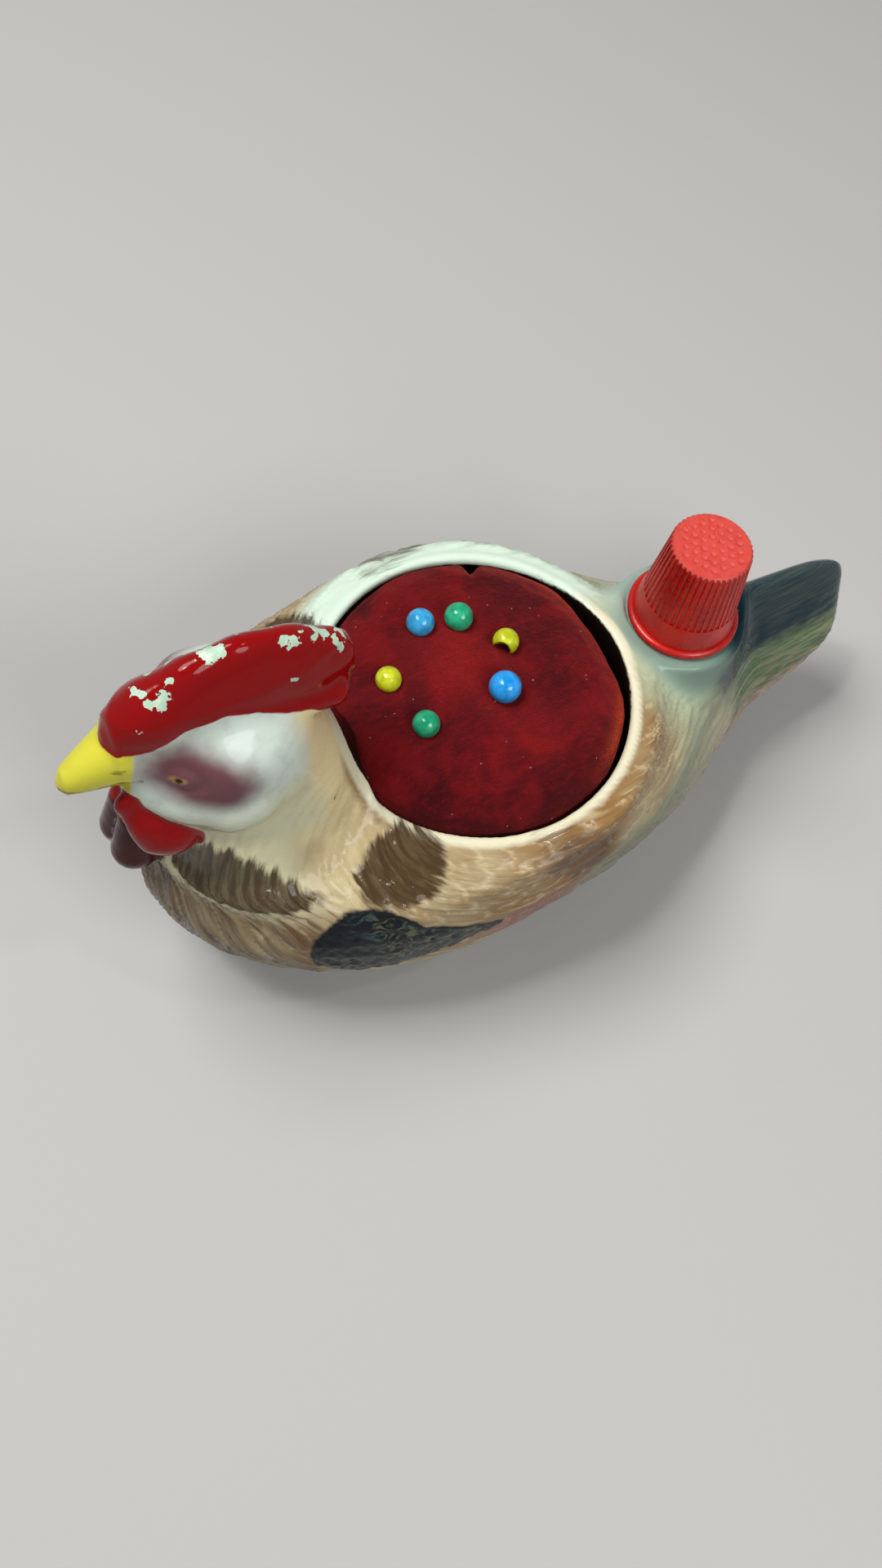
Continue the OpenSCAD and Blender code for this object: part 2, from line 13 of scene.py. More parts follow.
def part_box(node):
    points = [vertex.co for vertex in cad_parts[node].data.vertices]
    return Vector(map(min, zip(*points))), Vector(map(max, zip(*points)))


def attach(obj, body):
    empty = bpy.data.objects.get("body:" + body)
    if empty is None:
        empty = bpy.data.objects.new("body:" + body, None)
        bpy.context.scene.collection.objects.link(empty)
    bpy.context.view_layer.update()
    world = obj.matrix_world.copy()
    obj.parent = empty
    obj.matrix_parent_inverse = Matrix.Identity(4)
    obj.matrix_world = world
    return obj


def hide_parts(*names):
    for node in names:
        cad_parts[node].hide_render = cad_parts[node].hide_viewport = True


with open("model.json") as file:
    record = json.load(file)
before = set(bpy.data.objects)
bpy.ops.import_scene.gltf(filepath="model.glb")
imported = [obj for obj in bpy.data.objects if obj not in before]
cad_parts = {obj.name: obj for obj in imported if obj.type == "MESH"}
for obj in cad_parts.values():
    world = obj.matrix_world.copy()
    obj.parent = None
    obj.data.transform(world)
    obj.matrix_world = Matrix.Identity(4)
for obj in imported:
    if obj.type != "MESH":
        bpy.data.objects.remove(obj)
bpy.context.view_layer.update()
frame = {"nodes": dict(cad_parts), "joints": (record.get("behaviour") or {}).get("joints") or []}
MM = 0.001


# Driving places, all read from the frame
def corners(node):
    low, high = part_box(node)
    return np.array(low) / MM, np.array(high) / MM


HEN_LOW, HEN_HIGH = corners("ceramic_hen")
CARD_LOW, CARD_HIGH = corners("cushion_card")
COVER_LOW, COVER_HIGH = corners("cushion_cover")
THIMBLE_LOW, THIMBLE_HIGH = corners("thimble")
OPEN_X = (CARD_LOW[0] + CARD_HIGH[0]) / 2
CROWN_RISE = 3.4
RIM_H = COVER_HIGH[2] - CROWN_RISE
POST_X = (THIMBLE_LOW[0] + THIMBLE_HIGH[0]) / 2
THIMBLE_R = (THIMBLE_HIGH[0] - THIMBLE_LOW[0]) / 2
SEAT_H = THIMBLE_LOW[2] - 0.1
HALF_W = HEN_HIGH[1]
OPEN_R = 25
RIM_R = OPEN_R + 2.8
FLOOR_T = COVER_LOW[2] - 0.3


# Plain helpers
def srgb(r, g, b):
    """Linear colour of an 8-bit sRGB one."""
    return tuple(c / 255 / 12.92 if c <= 10 else ((c / 255 + 0.055) / 1.055) ** 2.4 for c in (r, g, b))


def smooth(low, high, v):
    """0 below low and 1 above high, with a soft step between."""
    t = np.clip((v - low) / (high - low), 0, 1)
    return t * t * (3 - 2 * t)


def bump(v, middle, width):
    """Bell of height 1 at middle."""
    return np.exp(-(((v - middle) / width) ** 2))


def curve(rows, u, column):
    """Value of a smooth curve through rows of [u, value, value, ...]."""
    k = np.array(rows, float)
    knots, values = k[:, 0], k[:, column]
    slopes = np.gradient(values, knots, edge_order=1)
    slopes[1:-1] = (values[2:] - values[:-2]) / (knots[2:] - knots[:-2])
    i = np.clip(np.searchsorted(knots, u, side="right") - 1, 0, len(knots) - 2)
    h = knots[i + 1] - knots[i]
    t = np.clip((u - knots[i]) / h, 0, 1)
    return (
        (2 * t**3 - 3 * t**2 + 1) * values[i]
        + (t**3 - 2 * t**2 + t) * h * slopes[i]
        + (3 * t**2 - 2 * t**3) * values[i + 1]
        + (t**3 - t**2) * h * slopes[i + 1]
    )


def lattice(i, j, k):
    """Fixed value from 0 to 1 for each whole-number point."""
    h = (i * 73856093) ^ (j * 19349663) ^ (k * 83492791)
    h = (h ^ (h >> 13)) * 1274126177
    return ((h ^ (h >> 16)) & 0xFFFF) / 65535


def noise(p, size):
    """Soft noise from -1 to 1 at the points p, with lumps of about size."""
    q = p / size
    cell = np.floor(q).astype(np.int64)
    t = q - cell
    t = t * t * (3 - 2 * t)
    total = 0
    for a in (0, 1):
        for b in (0, 1):
            for c in (0, 1):
                share = (
                    (t[:, 0] if a else 1 - t[:, 0])
                    * (t[:, 1] if b else 1 - t[:, 1])
                    * (t[:, 2] if c else 1 - t[:, 2])
                )
                total = total + share * lattice(cell[:, 0] + a, cell[:, 1] + b, cell[:, 2] + c)
    return total * 2 - 1


def grain(p, size, octaves=3):
    """Noise with finer noise on it."""
    return sum(noise(p + 17.3 * n, size / 2**n) / 2**n for n in range(octaves)) / 1.5


class Grid:
    """A box of cells in which shapes are distance fields, less than 0 inside."""

    def __init__(self, low, high, cell):
        self.cell = cell
        self.axes = [np.arange(low[n], high[n], cell, dtype=np.float32) for n in range(3)]
        self.low = np.array([axis[0] for axis in self.axes])
        self.x = self.axes[0][:, None, None]
        self.y = self.axes[1][None, :, None]
        self.z = self.axes[2][None, None, :]

    def sample(self, field, points):
        """Field at points, by the eight cells round each."""
        q = np.clip((points - self.low) / self.cell, 0, np.array(field.shape) - 1.001)
        cell = q.astype(int)
        t = q - cell
        total = 0
        for a in (0, 1):
            for b in (0, 1):
                for c in (0, 1):
                    share = (
                        (t[:, 0] if a else 1 - t[:, 0])
                        * (t[:, 1] if b else 1 - t[:, 1])
                        * (t[:, 2] if c else 1 - t[:, 2])
                    )
                    total = total + share * field[cell[:, 0] + a, cell[:, 1] + b, cell[:, 2] + c]
        return total

    def directions(self, field, points):
        """Outward unit normals of the field at points."""
        reach = self.cell * 0.8
        slope = np.stack(
            [self.sample(field, points + reach * e) - self.sample(field, points - reach * e) for e in np.eye(3)],
            axis=1,
        )
        return slope / np.maximum(np.linalg.norm(slope, axis=1, keepdims=True), 1e-6)

    def skin(self, field):
        """Points and faces of the field's surface."""
        grid = openvdb.FloatGrid()
        grid.background = 3
        grid.copyFromArray(np.clip(field / self.cell, -3, 3))
        points, quads = grid.convertToQuads(0.0)
        points = points * self.cell + self.low
        most = 0.65 * self.cell
        for _ in range(3):
            normal = self.directions(field, points)
            points = points - normal * np.clip(self.sample(field, points), -most, most)[:, None]
        return points, quads


# The hen's shape
MARGIN = 3
hen_grid = Grid(HEN_LOW - MARGIN, HEN_HIGH + MARGIN, 0.66)
X, Y, Z = hen_grid.x, hen_grid.y, hen_grid.z

# Height as a share of the rim's, the widest point's place along X, the reach ahead of it, the
# reach behind it and the half width
BREAST = 56.5 - OPEN_X
RUMP = 53 + OPEN_X
BODY = [
    [-0.1, 0, 23, 23, 16],
    [0, 0, 24.4, 24.4, 17.4],
    [0.03, 0, 25.6, 25.6, 18.6],
    [0.24, -3, BREAST - 11.5, RUMP - 10, HALF_W * 0.81],
    [0.46, -2, BREAST - 2.6, RUMP + 2, HALF_W * 0.945],
    [0.68, -1, BREAST - 1.5, RUMP - 7, HALF_W * 0.972],
    [0.86, 1, BREAST - 7, RUMP - 19, HALF_W * 0.945],
    [0.945, OPEN_X - 1, RIM_R + 2.6, RIM_R + 3.4, RIM_R + 2.6],
    [0.985, OPEN_X, RIM_R, RIM_R + 0.2, RIM_R],
    [1.04, OPEN_X, RIM_R - 1.8, RIM_R - 1.8, RIM_R - 1.8],
]
HEAD_X = OPEN_X - 45.5
SKULL = 32.5
HEAD_L = 29
HEAD_W = 23
# Height above the rim as a share of the skull's, middle, half length ahead and behind, half width
NECK = [
    [-0.42, HEAD_X + 8.5, HEAD_L * 0.58, HEAD_L * 0.62, HEAD_W * 0.9],
    [-0.1, HEAD_X + 7, HEAD_L * 0.54, HEAD_L * 0.6, HEAD_W * 0.76],
    [0.14, HEAD_X + 5.5, HEAD_L * 0.48, HEAD_L * 0.59, HEAD_W * 0.61],
    [0.34, HEAD_X + 3, HEAD_L * 0.45, HEAD_L * 0.58, HEAD_W * 0.52],
    [0.55, HEAD_X + 0.6, HEAD_L * 0.465, HEAD_L * 0.57, HEAD_W * 0.53],
    [0.74, HEAD_X + 0.6, HEAD_L * 0.43, HEAD_L * 0.51, HEAD_W * 0.47],
    [0.88, HEAD_X + 1.6, HEAD_L * 0.33, HEAD_L * 0.37, HEAD_W * 0.26],
    [0.97, HEAD_X + 2, HEAD_L * 0.2, HEAD_L * 0.22, HEAD_W * 0.12],
    [1.02, HEAD_X + 2, 1, 1, 0.6],
]
# Place along X, height of the ridge, height of the lower edge, half width
TAIL_END = HEN_HIGH[0]
TAIL = [
    [30, 31, 9, 18],
    [39.8, 33, 9, 17.6],
    [49.7, 37, 9.5, 16.4],
    [58.8, 39.4, 10.5, 12.6],
    [67.8, 39.4, 13, 10.4],
    [76, 38.9, 15.2, 8.8],
    [81.4, 37.0, 18.4, 7.2],
    [84.1, 34.8, 22, 4.8],
    [85.4, 32, 28, 0.8],
]
# Place along X, middle height, half height, half width, and how much broader the foot is
COMB = [
    [-50.6, 70.6, 0.4, 0.6, 0],
    [-50.0, 70.6, 2.2, 2.2, 0],
    [-48.2, 71.0, 4.0, 3.6, 0],
    [-44.8, 71.9, 5.5, 4.4, 0.1],
    [-40.5, 73.0, 6.4, 4.6, 0.25],
    [-36.0, 73.6, 6.9, 4.6, 0.4],
    [-31.0, 74.0, 7.0, 4.5, 0.4],
    [-25.0, 72.6, 6.8, 4.3, 0.35],
    [-19.2, 70.0, 5.9, 3.6, 0.25],
    [-15.9, 69.4, 3.4, 2.3, 0.1],
    [-14.9, 69.6, 0.5, 0.5, 0],
]
# Place along X, middle height, half height, half width
BEAK = [
    [-57.9, 62.4, 0.6, 0.5],
    [-57.2, 62.6, 1.9, 1.6],
    [-54.6, 63.7, 3.2, 2.7],
    [-50.5, 65.2, 4.6, 4.0],
    [-47.0, 66.2, 5.3, 5.2],
    [-43.0, 66.6, 5.0, 5.8],
]


def as_distance(g):
    """Turns a field whose surface is at 0 into millimetres near that surface."""
    steepness = np.sqrt(sum(d * d for d in np.gradient(g.astype(np.float32), hen_grid.cell)))
    return np.clip(g / np.maximum(steepness, 1e-4), -8, 8).astype(np.float32)


def upright_loft(rows, height, narrower=1.0):
    """Stack of ovals with their own reach ahead and behind."""
    middle, ahead, behind, half = (curve(rows, height, c).astype(np.float32) for c in (1, 2, 3, 4))
    reach = np.where(X < middle, ahead, behind)
    return as_distance(np.hypot((X - middle) / reach, Y * narrower / half) - 1)


def lying_loft(rows, foot=None):
    middle, tall, half = (curve(rows, X, c).astype(np.float32) for c in (1, 2, 3))
    level = np.clip((Z - middle) / tall, -3, 3)
    if foot is not None:
        half = half * (1 - curve(rows, X, foot).astype(np.float32) * np.clip(level, -1, 1))
    d = as_distance(np.hypot(level, Y / half) - 1)
    return np.maximum(d, np.maximum(rows[0][0] - X, X - rows[-1][0]))


def tail_field():
    top, low, half = (curve(TAIL, X, c).astype(np.float32) for c in (1, 2, 3))
    share = np.clip((top - Z) / (top - low), 0, 1)
    foot = 0.78
    under = np.sqrt(np.clip(1 - ((share - foot) / (1 - foot)) ** 2, 0, 1))
    tent = np.where(share < foot, 0.1 + 0.9 * share / foot, under)
    side = (np.abs(Y) - half * tent) * 0.9
    d = soft_max(side, soft_max(Z - top, low - Z, 1.0), 2.4)
    return np.maximum(d, np.maximum(TAIL[0][0] - X, X - TAIL[-1][0]))


def soft_min(a, b, width):
    h = np.clip(0.5 + 0.5 * (b - a) / width, 0, 1)
    return b + (a - b) * h - width * h * (1 - h)


def soft_max(a, b, width):
    return -soft_min(-a, -b, width)


def pill(a, b, radius_a, radius_b, flat=(1, 1, 1)):
    """Rounded rod from a to b whose radius changes along it, squeezed by flat along each axis."""
    ax, ay, az = (a[n] for n in range(3))
    dx, dy, dz = (b[n] - a[n] for n in range(3))
    along = ((X - ax) * dx + (Y - ay) * dy + (Z - az) * dz) / (dx * dx + dy * dy + dz * dz)
    along = np.clip(along, 0, 1)
    away = np.sqrt(
        ((X - ax - dx * along) / flat[0]) ** 2
        + ((Y - ay - dy * along) / flat[1]) ** 2
        + ((Z - az - dz * along) / flat[2]) ** 2
    )
    return ((away - (radius_a + (radius_b - radius_a) * along)) * min(flat)).astype(np.float32)


def ball(middle, sizes):
    g = np.sqrt(sum(((v - m) / s) ** 2 for v, m, s in zip((X, Y, Z), middle, sizes)))
    return ((g - 1) * min(sizes)).astype(np.float32)


def both_sides(make):
    return np.minimum(make(-1), make(1))


def hen_fields():
    """Fields of the whole hen and of the pieces that have a paint of their own."""
    body = upright_loft(BODY, Z / RIM_H)
    body = soft_max(body, Z - (RIM_H + 0.4), 2.8)
    from_axis = np.hypot(X - OPEN_X, Y)
    forehead = (1 + 0.42 * smooth(-36, -47, X) * smooth(57, 67, Z)).astype(np.float32)
    neck = upright_loft(NECK, (Z - RIM_H) / SKULL, forehead)
    neck = soft_max(neck, Z - (RIM_H + SKULL), 1)
    neck = soft_max(neck, 27 - Z, 5)
    solid = soft_min(body, tail_field(), 5)
    from_post = np.hypot(X - POST_X, Y)
    seat_side = np.interp(hen_grid.axes[2], [8, 26, 34, SEAT_H + 0.5], [15, 13, 11.9, 10.9])[None, None, :]
    seat = soft_max(from_post - seat_side, Z - SEAT_H, 0.8)
    seat = soft_max(seat, 14 - Z, 4)
    solid = soft_min(solid, seat, 5)
    solid = soft_min(solid, neck, 7)

    recess = soft_max(from_post - (THIMBLE_R + 0.35), SEAT_H - Z, 0.3)
    solid = soft_max(solid, -recess, 0.5)
    post_side = np.interp(hen_grid.axes[2], [SEAT_H - 2, SEAT_H, SEAT_H + 8.6], [5.3, 5.3, 4.3])[None, None, :]
    post = soft_max(from_post - post_side, Z - (SEAT_H + 8.5), 2)
    post = np.maximum(post, SEAT_H - 2 - Z)
    solid = soft_min(solid, post, 0.8)

    bowl_side = np.interp(
        hen_grid.axes[2],
        np.array([FLOOR_T - 1, FLOOR_T, FLOOR_T + 3, FLOOR_T + 8, FLOOR_T + 14, RIM_H * 0.67]
            + [RIM_H - 8, RIM_H - 2.2, RIM_H + 0.8, RIM_H + CROWN_RISE, RIM_H + 2 * CROWN_RISE]),
        [15, 16.5, 20, 23.5, 25.8, 26.5, 25.8, OPEN_R + 0.2, OPEN_R + 0.4, OPEN_R - 2, -6],
    )[None, None, :]
    bowl = np.maximum((from_axis - bowl_side) * 0.9, FLOOR_T - Z)
    solid = soft_max(solid, -bowl, 1.1)

    comb = lying_loft(COMB, foot=4)
    tier = both_sides(lambda s: pill((-31, s * 3.9, 68.6), (-19.5, s * 3.4, 65.8), 1.8, 2.5, (1, 0.9, 0.8)))
    comb = soft_min(comb, tier, 1.6)
    beak = lying_loft(BEAK)
    wattle = both_sides(
        lambda s: soft_min(
            pill((-49.4, s * 4.0, 57.6), (-46.2, s * 6.8, 52.2), 2.6, 4.7, (1, 0.62, 1)),
            pill((-46.8, s * 6.6, 53.4), (-45.2, s * 8.0, 51.6), 3.7, 3.6, (1, 0.7, 1)),
            1.2,
        )
    )
    lobes = both_sides(lambda s: pill((-48.9, s * 1.8, 48.5), (-49.8, s * 2.2, 40.4), 2.8, 4.0, (0.95, 0.85, 1.1)))
    lobes = soft_min(lobes, pill((-46.8, 0, 56), (-47.8, 0, 49), 2.0, 2.4), 1.5)
    ear = both_sides(lambda s: ball((-36.0, s * 10.9, 56.8), (4.9, 2.5, 3.7)))

    solid = soft_min(solid, ear, 0.8)
    solid = soft_min(solid, beak, 1.2)
    solid = soft_min(solid, comb, 1.4)
    solid = soft_min(solid, wattle, 0.8)
    solid = soft_min(solid, lobes, 0.9)
    foot = soft_max(solid, 0.05 - Z, 1.2)
    return foot, {"comb": comb, "beak": beak, "wattle": wattle, "lobes": lobes, "ear": ear}


# Relief and paint on the hen's skin
EYE = (-43.6, 65.7)


def flow(p):
    """Lines along which the plumage lies: it falls down the breast and sweeps back along the flank.
    Gives millimetres across those lines and along them, and the height unrolled over the shoulder."""
    x, y, z = p.T
    away = np.abs(y)
    lift = z + 0.9 * (HALF_W - away) * smooth(33, 41, z)
    turn = np.arctan2(away / 32, -(x + 7) / 41)
    run = np.where(x < -7, -7 - 36.5 * (math.pi / 2 - turn), x)
    dx, dz = run - 6, 66 - lift
    front = run < 6
    across = np.where(front, np.hypot(dx, dz), dz)
    along = np.where(front, np.arctan2(-dx, dz) * -34, dx)
    return across, along, lift


def feathers(u, v, length, width, seed=0):
    """Overlapping feathers in staggered rows, with their tips towards +u. Gives the relief from 0 to
    1, the distance in from the feather's edge as a share, and the place across it from -1 to 1."""
    step_u = length * 0.52
    step_v = width * 0.84
    relief = np.zeros_like(u)
    inner = np.zeros_like(u)
    across = np.zeros_like(u)
    free = np.ones(len(u), bool)
    row = np.floor(v / step_v).astype(int)
    for back in (-1, 0, 1):
        for shift in (0, 1, -1):
            line = row + shift
            stagger = (line % 2) * 0.5
            k = np.floor(u / step_u - stagger).astype(int) + back
            wobble = lattice(k, line, seed) - 0.5
            a = (u - (k + stagger + 0.5 + 0.25 * wobble) * step_u) / (length / 2)
            b = (v - (line + 0.5 + 0.2 * wobble) * step_v) / (width / 2)
            depth = 1 - np.sqrt(a * a + b * b)
            here = free & (depth > 0)
            relief[here] = ((0.55 + 0.45 * a - 0.3 * b * b) * smooth(0, 0.3, depth))[here]
            inner[here] = depth[here]
            across[here] = b[here]
            free &= ~here
    return relief, inner, across


def inside(x, z, middle, sizes, tilt=0):
    """Distance in from the edge of an ellipse in the side view, about in millimetres."""
    c, s = math.cos(math.radians(tilt)), math.sin(math.radians(tilt))
    a = (x - middle[0]) * c + (z - middle[1]) * s
    b = (z - middle[1]) * c - (x - middle[0]) * s
    return (1 - np.sqrt((a / sizes[0]) ** 2 + (b / sizes[1]) ** 2)) * min(sizes)


def navy_patch(x, z):
    """Distance in from the edge of the dark patch on the wing, which runs to a point at its rear."""
    front = inside(x, z, (-22.6, 28.5), (9.4, 8.8))
    rear = np.min([37.3 - 0.46 * (x + 22.6) - z, z - 19.7 - 0.36 * (x + 22.6), x + 22.6, -1.5 - x], axis=0)
    return np.maximum(front, rear)


def near(p, places):
    """Distance in from the nearest of some blots, each [x, y, z, radius]."""
    return np.max([q[3] - np.linalg.norm(p - np.array(q[:3]), axis=1) for q in places], axis=0)


def hen_surface(p):
    """Where each kind of plumage lies: shares from 0 to 1 and some distances, at the points p."""
    x, y, z = p.T
    away = np.abs(y)
    area = {}
    area["from_axis"] = np.hypot(x - OPEN_X, y)
    area["rim"] = smooth(RIM_R + 1.2, RIM_R - 0.4, area["from_axis"]) * smooth(RIM_H - 3, RIM_H - 1.5, z)
    turn = np.degrees(np.arctan2(y, x - OPEN_X))
    limit = OPEN_R + 0.05 + 0.6 * bump(turn, 2, 38) + 1.6 * smooth(RIM_H - 1.2, RIM_H - 3, z)
    area["in_bowl"] = np.minimum(limit - area["from_axis"], z - FLOOR_T + 2)
    area["bowl"] = smooth(-0.3, 0.1, area["in_bowl"])
    head = smooth(RIM_H + 6, RIM_H + 12, z) * smooth(-14, -18, x)
    area["head"] = head
    neck_x = HEAD_X + 4
    reach = np.hypot((x - neck_x) * 0.9, away)
    area["neck"] = (
        smooth(RIM_H - 10, RIM_H - 2, z) * smooth(30, 22, reach) * smooth(-6, -14, x) * (1 - area["rim"])
    )
    area["tail"] = smooth(50, 60, x)
    area["post"] = np.hypot(x - POST_X, y)
    return area


def relief_of(p, area, parts):
    """How far each point moves out along its normal, in millimetres."""
    x, y, z = p.T
    away = np.abs(y)
    plain = smooth(0.2, 1.4, np.min([hen_grid.sample(parts[n], p) for n in parts], axis=0))
    plain = plain * (1 - area["rim"]) * (1 - area["bowl"]) * smooth(12.4, 14.5, area["post"])
    plain = plain * smooth(1, 5, z)
    cross, along, lift = flow(p)
    wave = grain(p, 9) * 0.8

    patch = navy_patch(x, z)
    curls, depth, _ = feathers(x + wave, lift * 1.02 + wave * 0.5, 5.2, 4.4, 1)
    curls = 0.5 * curls - 0.45 * bump(depth, 0.42, 0.1)
    wing = smooth(-0.4, 0.8, patch)
    out = wing * (0.35 + curls * 0.75)

    plumes, _, _ = feathers(along + wave, cross + 0.6 * wave, 17, 4.6, 2)
    strands = np.sin((cross + 0.7 * wave + 0.03 * along) * 2 * math.pi / 1.7)
    flank = smooth(8, 14, z) * smooth(RIM_H + 16, RIM_H + 4, z) * smooth(58, 50, x)
    near_rim = smooth(RIM_R - 1.5, RIM_R + 2, area["from_axis"])
    calm = smooth(-0.6, 0.3, grain(p + 25, 16)) * (1 - 0.7 * area["neck"])
    out += (1 - wing) * flank * near_rim * ((0.2 + 0.6 * calm) * plumes + 0.16 * strands)

    tail_v = (z - 26) * (1 + 0.012 * (x - 50)) + wave * 0.3
    plumes, _, _ = feathers(x * 0.8 + wave, tail_v, 34, 4.6, 6)
    combed = np.sin((tail_v - 0.16 * x + wave * 0.5) * 2 * math.pi / 1.5)
    out += area["tail"] * smooth(85, 78, x) * smooth(37, 29, z) * (0.4 * plumes + 0.12 * combed)
    lid = np.minimum(inside(x, z, EYE, (2.3, 1.35), -8), away - 2)
    out += 0.35 * smooth(-0.1, 0.7, lid) - 0.3 * bump(lid, -0.35, 0.4)
    pitted = grain(p + 40, 5, 2) * 0.07
    comb = smooth(1.0, -0.5, hen_grid.sample(parts["comb"], p))
    waved = 0.3 * grain(p * [1, 1, 0.6], 5.5, 2) + 0.18 * np.sin(x * 2 * math.pi / 7.3 + 0.12 * z)
    return plain * out * 0.9 + pitted * (1 - area["bowl"]) + comb * waved


def paint_of(p, area, parts):
    """The glaze's wash colour and, for each paint, how far in from its edge each point lies."""
    x, y, z = p.T
    away = np.abs(y)
    cloud = grain(p, 14)
    fine = grain(p + 60, 4)
    cross, along, lift = flow(p)
    _, depth, _ = feathers(along + 0.8 * grain(p, 9), cross + 0.48 * grain(p, 9), 17, 4.6, 2)

    def blend(colour, share, over):
        share = np.clip(share, 0, 1)[:, None]
        return over * (1 - share) + np.array(srgb(*colour)) * share

    wash = np.tile(np.array(srgb(205, 203, 170)), (len(p), 1))
    tan = smooth(-34, -24, x) * smooth(46, 30, x) * smooth(16, 24, z) * smooth(RIM_H + 14, RIM_H + 4, z)
    wash = blend((148, 116, 74), tan * (0.8 + 0.45 * cloud), wash)
    nape = area["neck"] * smooth(-34, -24, x + 4 * fine) + smooth(-27, -21, x) * area["head"]
    wash = blend((228, 212, 166), nape * 0.85, wash)
    wash = blend((240, 236, 192), smooth(36, 41, z) * smooth(-28, -36, x) * smooth(RIM_H + 12, RIM_H + 6, z) * 0.9, wash)
    wash = blend((116, 84, 50), smooth(-24, -32, x) * smooth(38, 33, z) * (0.75 + 0.4 * cloud), wash)
    throat = smooth(35, 39, z) * smooth(-25, -31, x)
    feathered = smooth(12, 18, z) * smooth(RIM_H + 10, RIM_H, z) * smooth(56, 48, x) * (1 - throat)
    wash = blend((140, 104, 66), feathered * smooth(0.75, 0.35, depth) * (0.3 + 0.5 * cloud), wash)
    wash = blend((220, 206, 166), feathered * bump(depth, 0.06, 0.06) * 0.5, wash)
    seat = smooth(24, 14, area["post"]) * smooth(24, 34, z)
    wash = blend((176, 190, 160), seat * (0.8 + 0.3 * cloud), wash)
    pool_and_shadow = smooth(14.6, 10.8, area["post"]) * smooth(30, 36, z)
    wash = blend((154, 182, 172), pool_and_shadow * (0.8 + 0.3 * cloud), wash)
    # Painted shadow of the thimble: the near side of the zone round the seat is painted darker grey-green.
    wash = blend((124, 148, 136), pool_and_shadow * smooth(4, -6, y + 0.3 * (x - POST_X) + 3 * cloud), wash)
    wash = blend((52, 84, 84), pool_and_shadow * smooth(-1, 7, x - POST_X + 3 * cloud), wash)
    edge = smooth(OPEN_R + 2.6, OPEN_R + 1.7, area["from_axis"] + 0.5 * cloud) * smooth(RIM_H - 4, RIM_H - 2, z)
    wash = blend((222, 218, 190), edge, wash)
    far_band = smooth(OPEN_R + 9, OPEN_R + 5, area["from_axis"]) * smooth(RIM_H - 6, RIM_H - 3, z) * smooth(4, 12, y)
    wash = blend((208, 230, 214), far_band * 0.95, wash)
    low_flank = smooth(31, 24, z - 0.12 * (x - 20)) * smooth(6, 18, x)
    wash = blend((142, 150, 124), low_flank * (0.7 + 0.5 * cloud), wash)
    wash = blend((196, 188, 160), smooth(34, 44, x) * smooth(34, 22, z) * 0.6, wash)
    low_rear = smooth(-4, 6, x) * smooth(30, 20, z)
    wash = blend((172, 150, 134), low_rear * (0.6 + 0.4 * cloud) * smooth(60, 44, x), wash)
    wash = blend((196, 186, 160), smooth(12, 5, z), wash)

    layers = {}
    wattle = np.minimum(0.7 - hen_grid.sample(parts["wattle"], p), 60.6 - z)
    knots = [-51, -48.5, -45.7, -41, -36, -31.4, -27.4, -24.2, -22, -18, -13]
    comb_edge = np.interp(x, knots, [69.4, 69.9, 70.4, 72.2, 72.7, 71.5, 69.3, 67.4, 65.6, 62, 60])
    comb = np.min([z - comb_edge, x + 54, -12 - x], axis=0)
    lobes = 0.7 - hen_grid.sample(parts["lobes"], p)
    layers["red"] = np.max([comb, wattle, np.minimum(lobes, z - 50)], axis=0)
    # Painted shade: the lower part of the hanging lobes is painted near-black maroon as their shade. Their upper
    # part stays red.
    layers["lobe_shade"] = lobes
    layers["yellow"] = np.minimum(-48.7 - x - 0.16 * (66 - z), z - 59.5)
    face = np.minimum(z - 49.5 + 0.25 * (x + 36), -25.5 - x + 0.12 * (60 - z))
    layers["white"] = face + fine * 0.8
    layers["mauve"] = np.minimum(inside(x, z, (-40.8, 65.2), (7.4, 4.2), -16), away - 3)
    layers["iris"] = inside(x, z, EYE, (0.95, 0.5), -8)
    layers["pupil"] = inside(x, z, EYE, (0.5, 0.45))
    nostril = np.minimum(inside(x, z, (-50.2, 66.9), (1.0, 0.35), 20), away - 1.2)
    mouth = 0.28 - np.abs(z - 62.6 - 0.12 * (x + 57) - 0.01 * (x + 57) ** 2) + 20 * np.minimum(0, -47.5 - x)
    layers["mouth"] = np.maximum(nostril, mouth)

    front = 1.7 * inside(along + 0.72 * (cross - 54), cross, (-46.5, 53.5), (7.0, 11.0))
    side = inside(along, cross, (-32.5, 29.5), (9.5, 9.0))
    layers["umber"] = np.where(z > 27, np.maximum(front, side), -6)
    low_breast = np.minimum(37.5 - z, -27 - x) * 0.5
    layers["brown"] = np.minimum(low_breast, 1.6) - 1.5
    layers["navy"] = navy_patch(x, z)
    layers["curl"] = smooth(-26, -20, x + 0.4 * (z - 29))
    layers["plum"] = inside(x, lift, (12.2, 36.5), (11, 5.4), -50)
    layers["pink"] = inside(x, z, (4, 24.5), (11, 4.6), -4)
    layers["moss"] = np.min([(x - 15) * 0.3, (46 - x) * 0.3, 4.5 - np.abs(z - 24 - 0.12 * (x - 25))], axis=0)
    ridge = np.minimum((x - 51) * 0.6, z - 28.4 + 0.04 * (x - 60))
    behind_seat = np.minimum(13.6 - area["post"], x - 53)
    layers["teal"] = np.maximum(ridge, behind_seat)
    layers["fern"] = np.min([x - 56, z - 18.5 - 0.1 * (x - 60), 29.5 - z], axis=0)
    layers["rose"] = np.minimum(x - 52, 21.2 + 0.1 * (x - 60) - z)
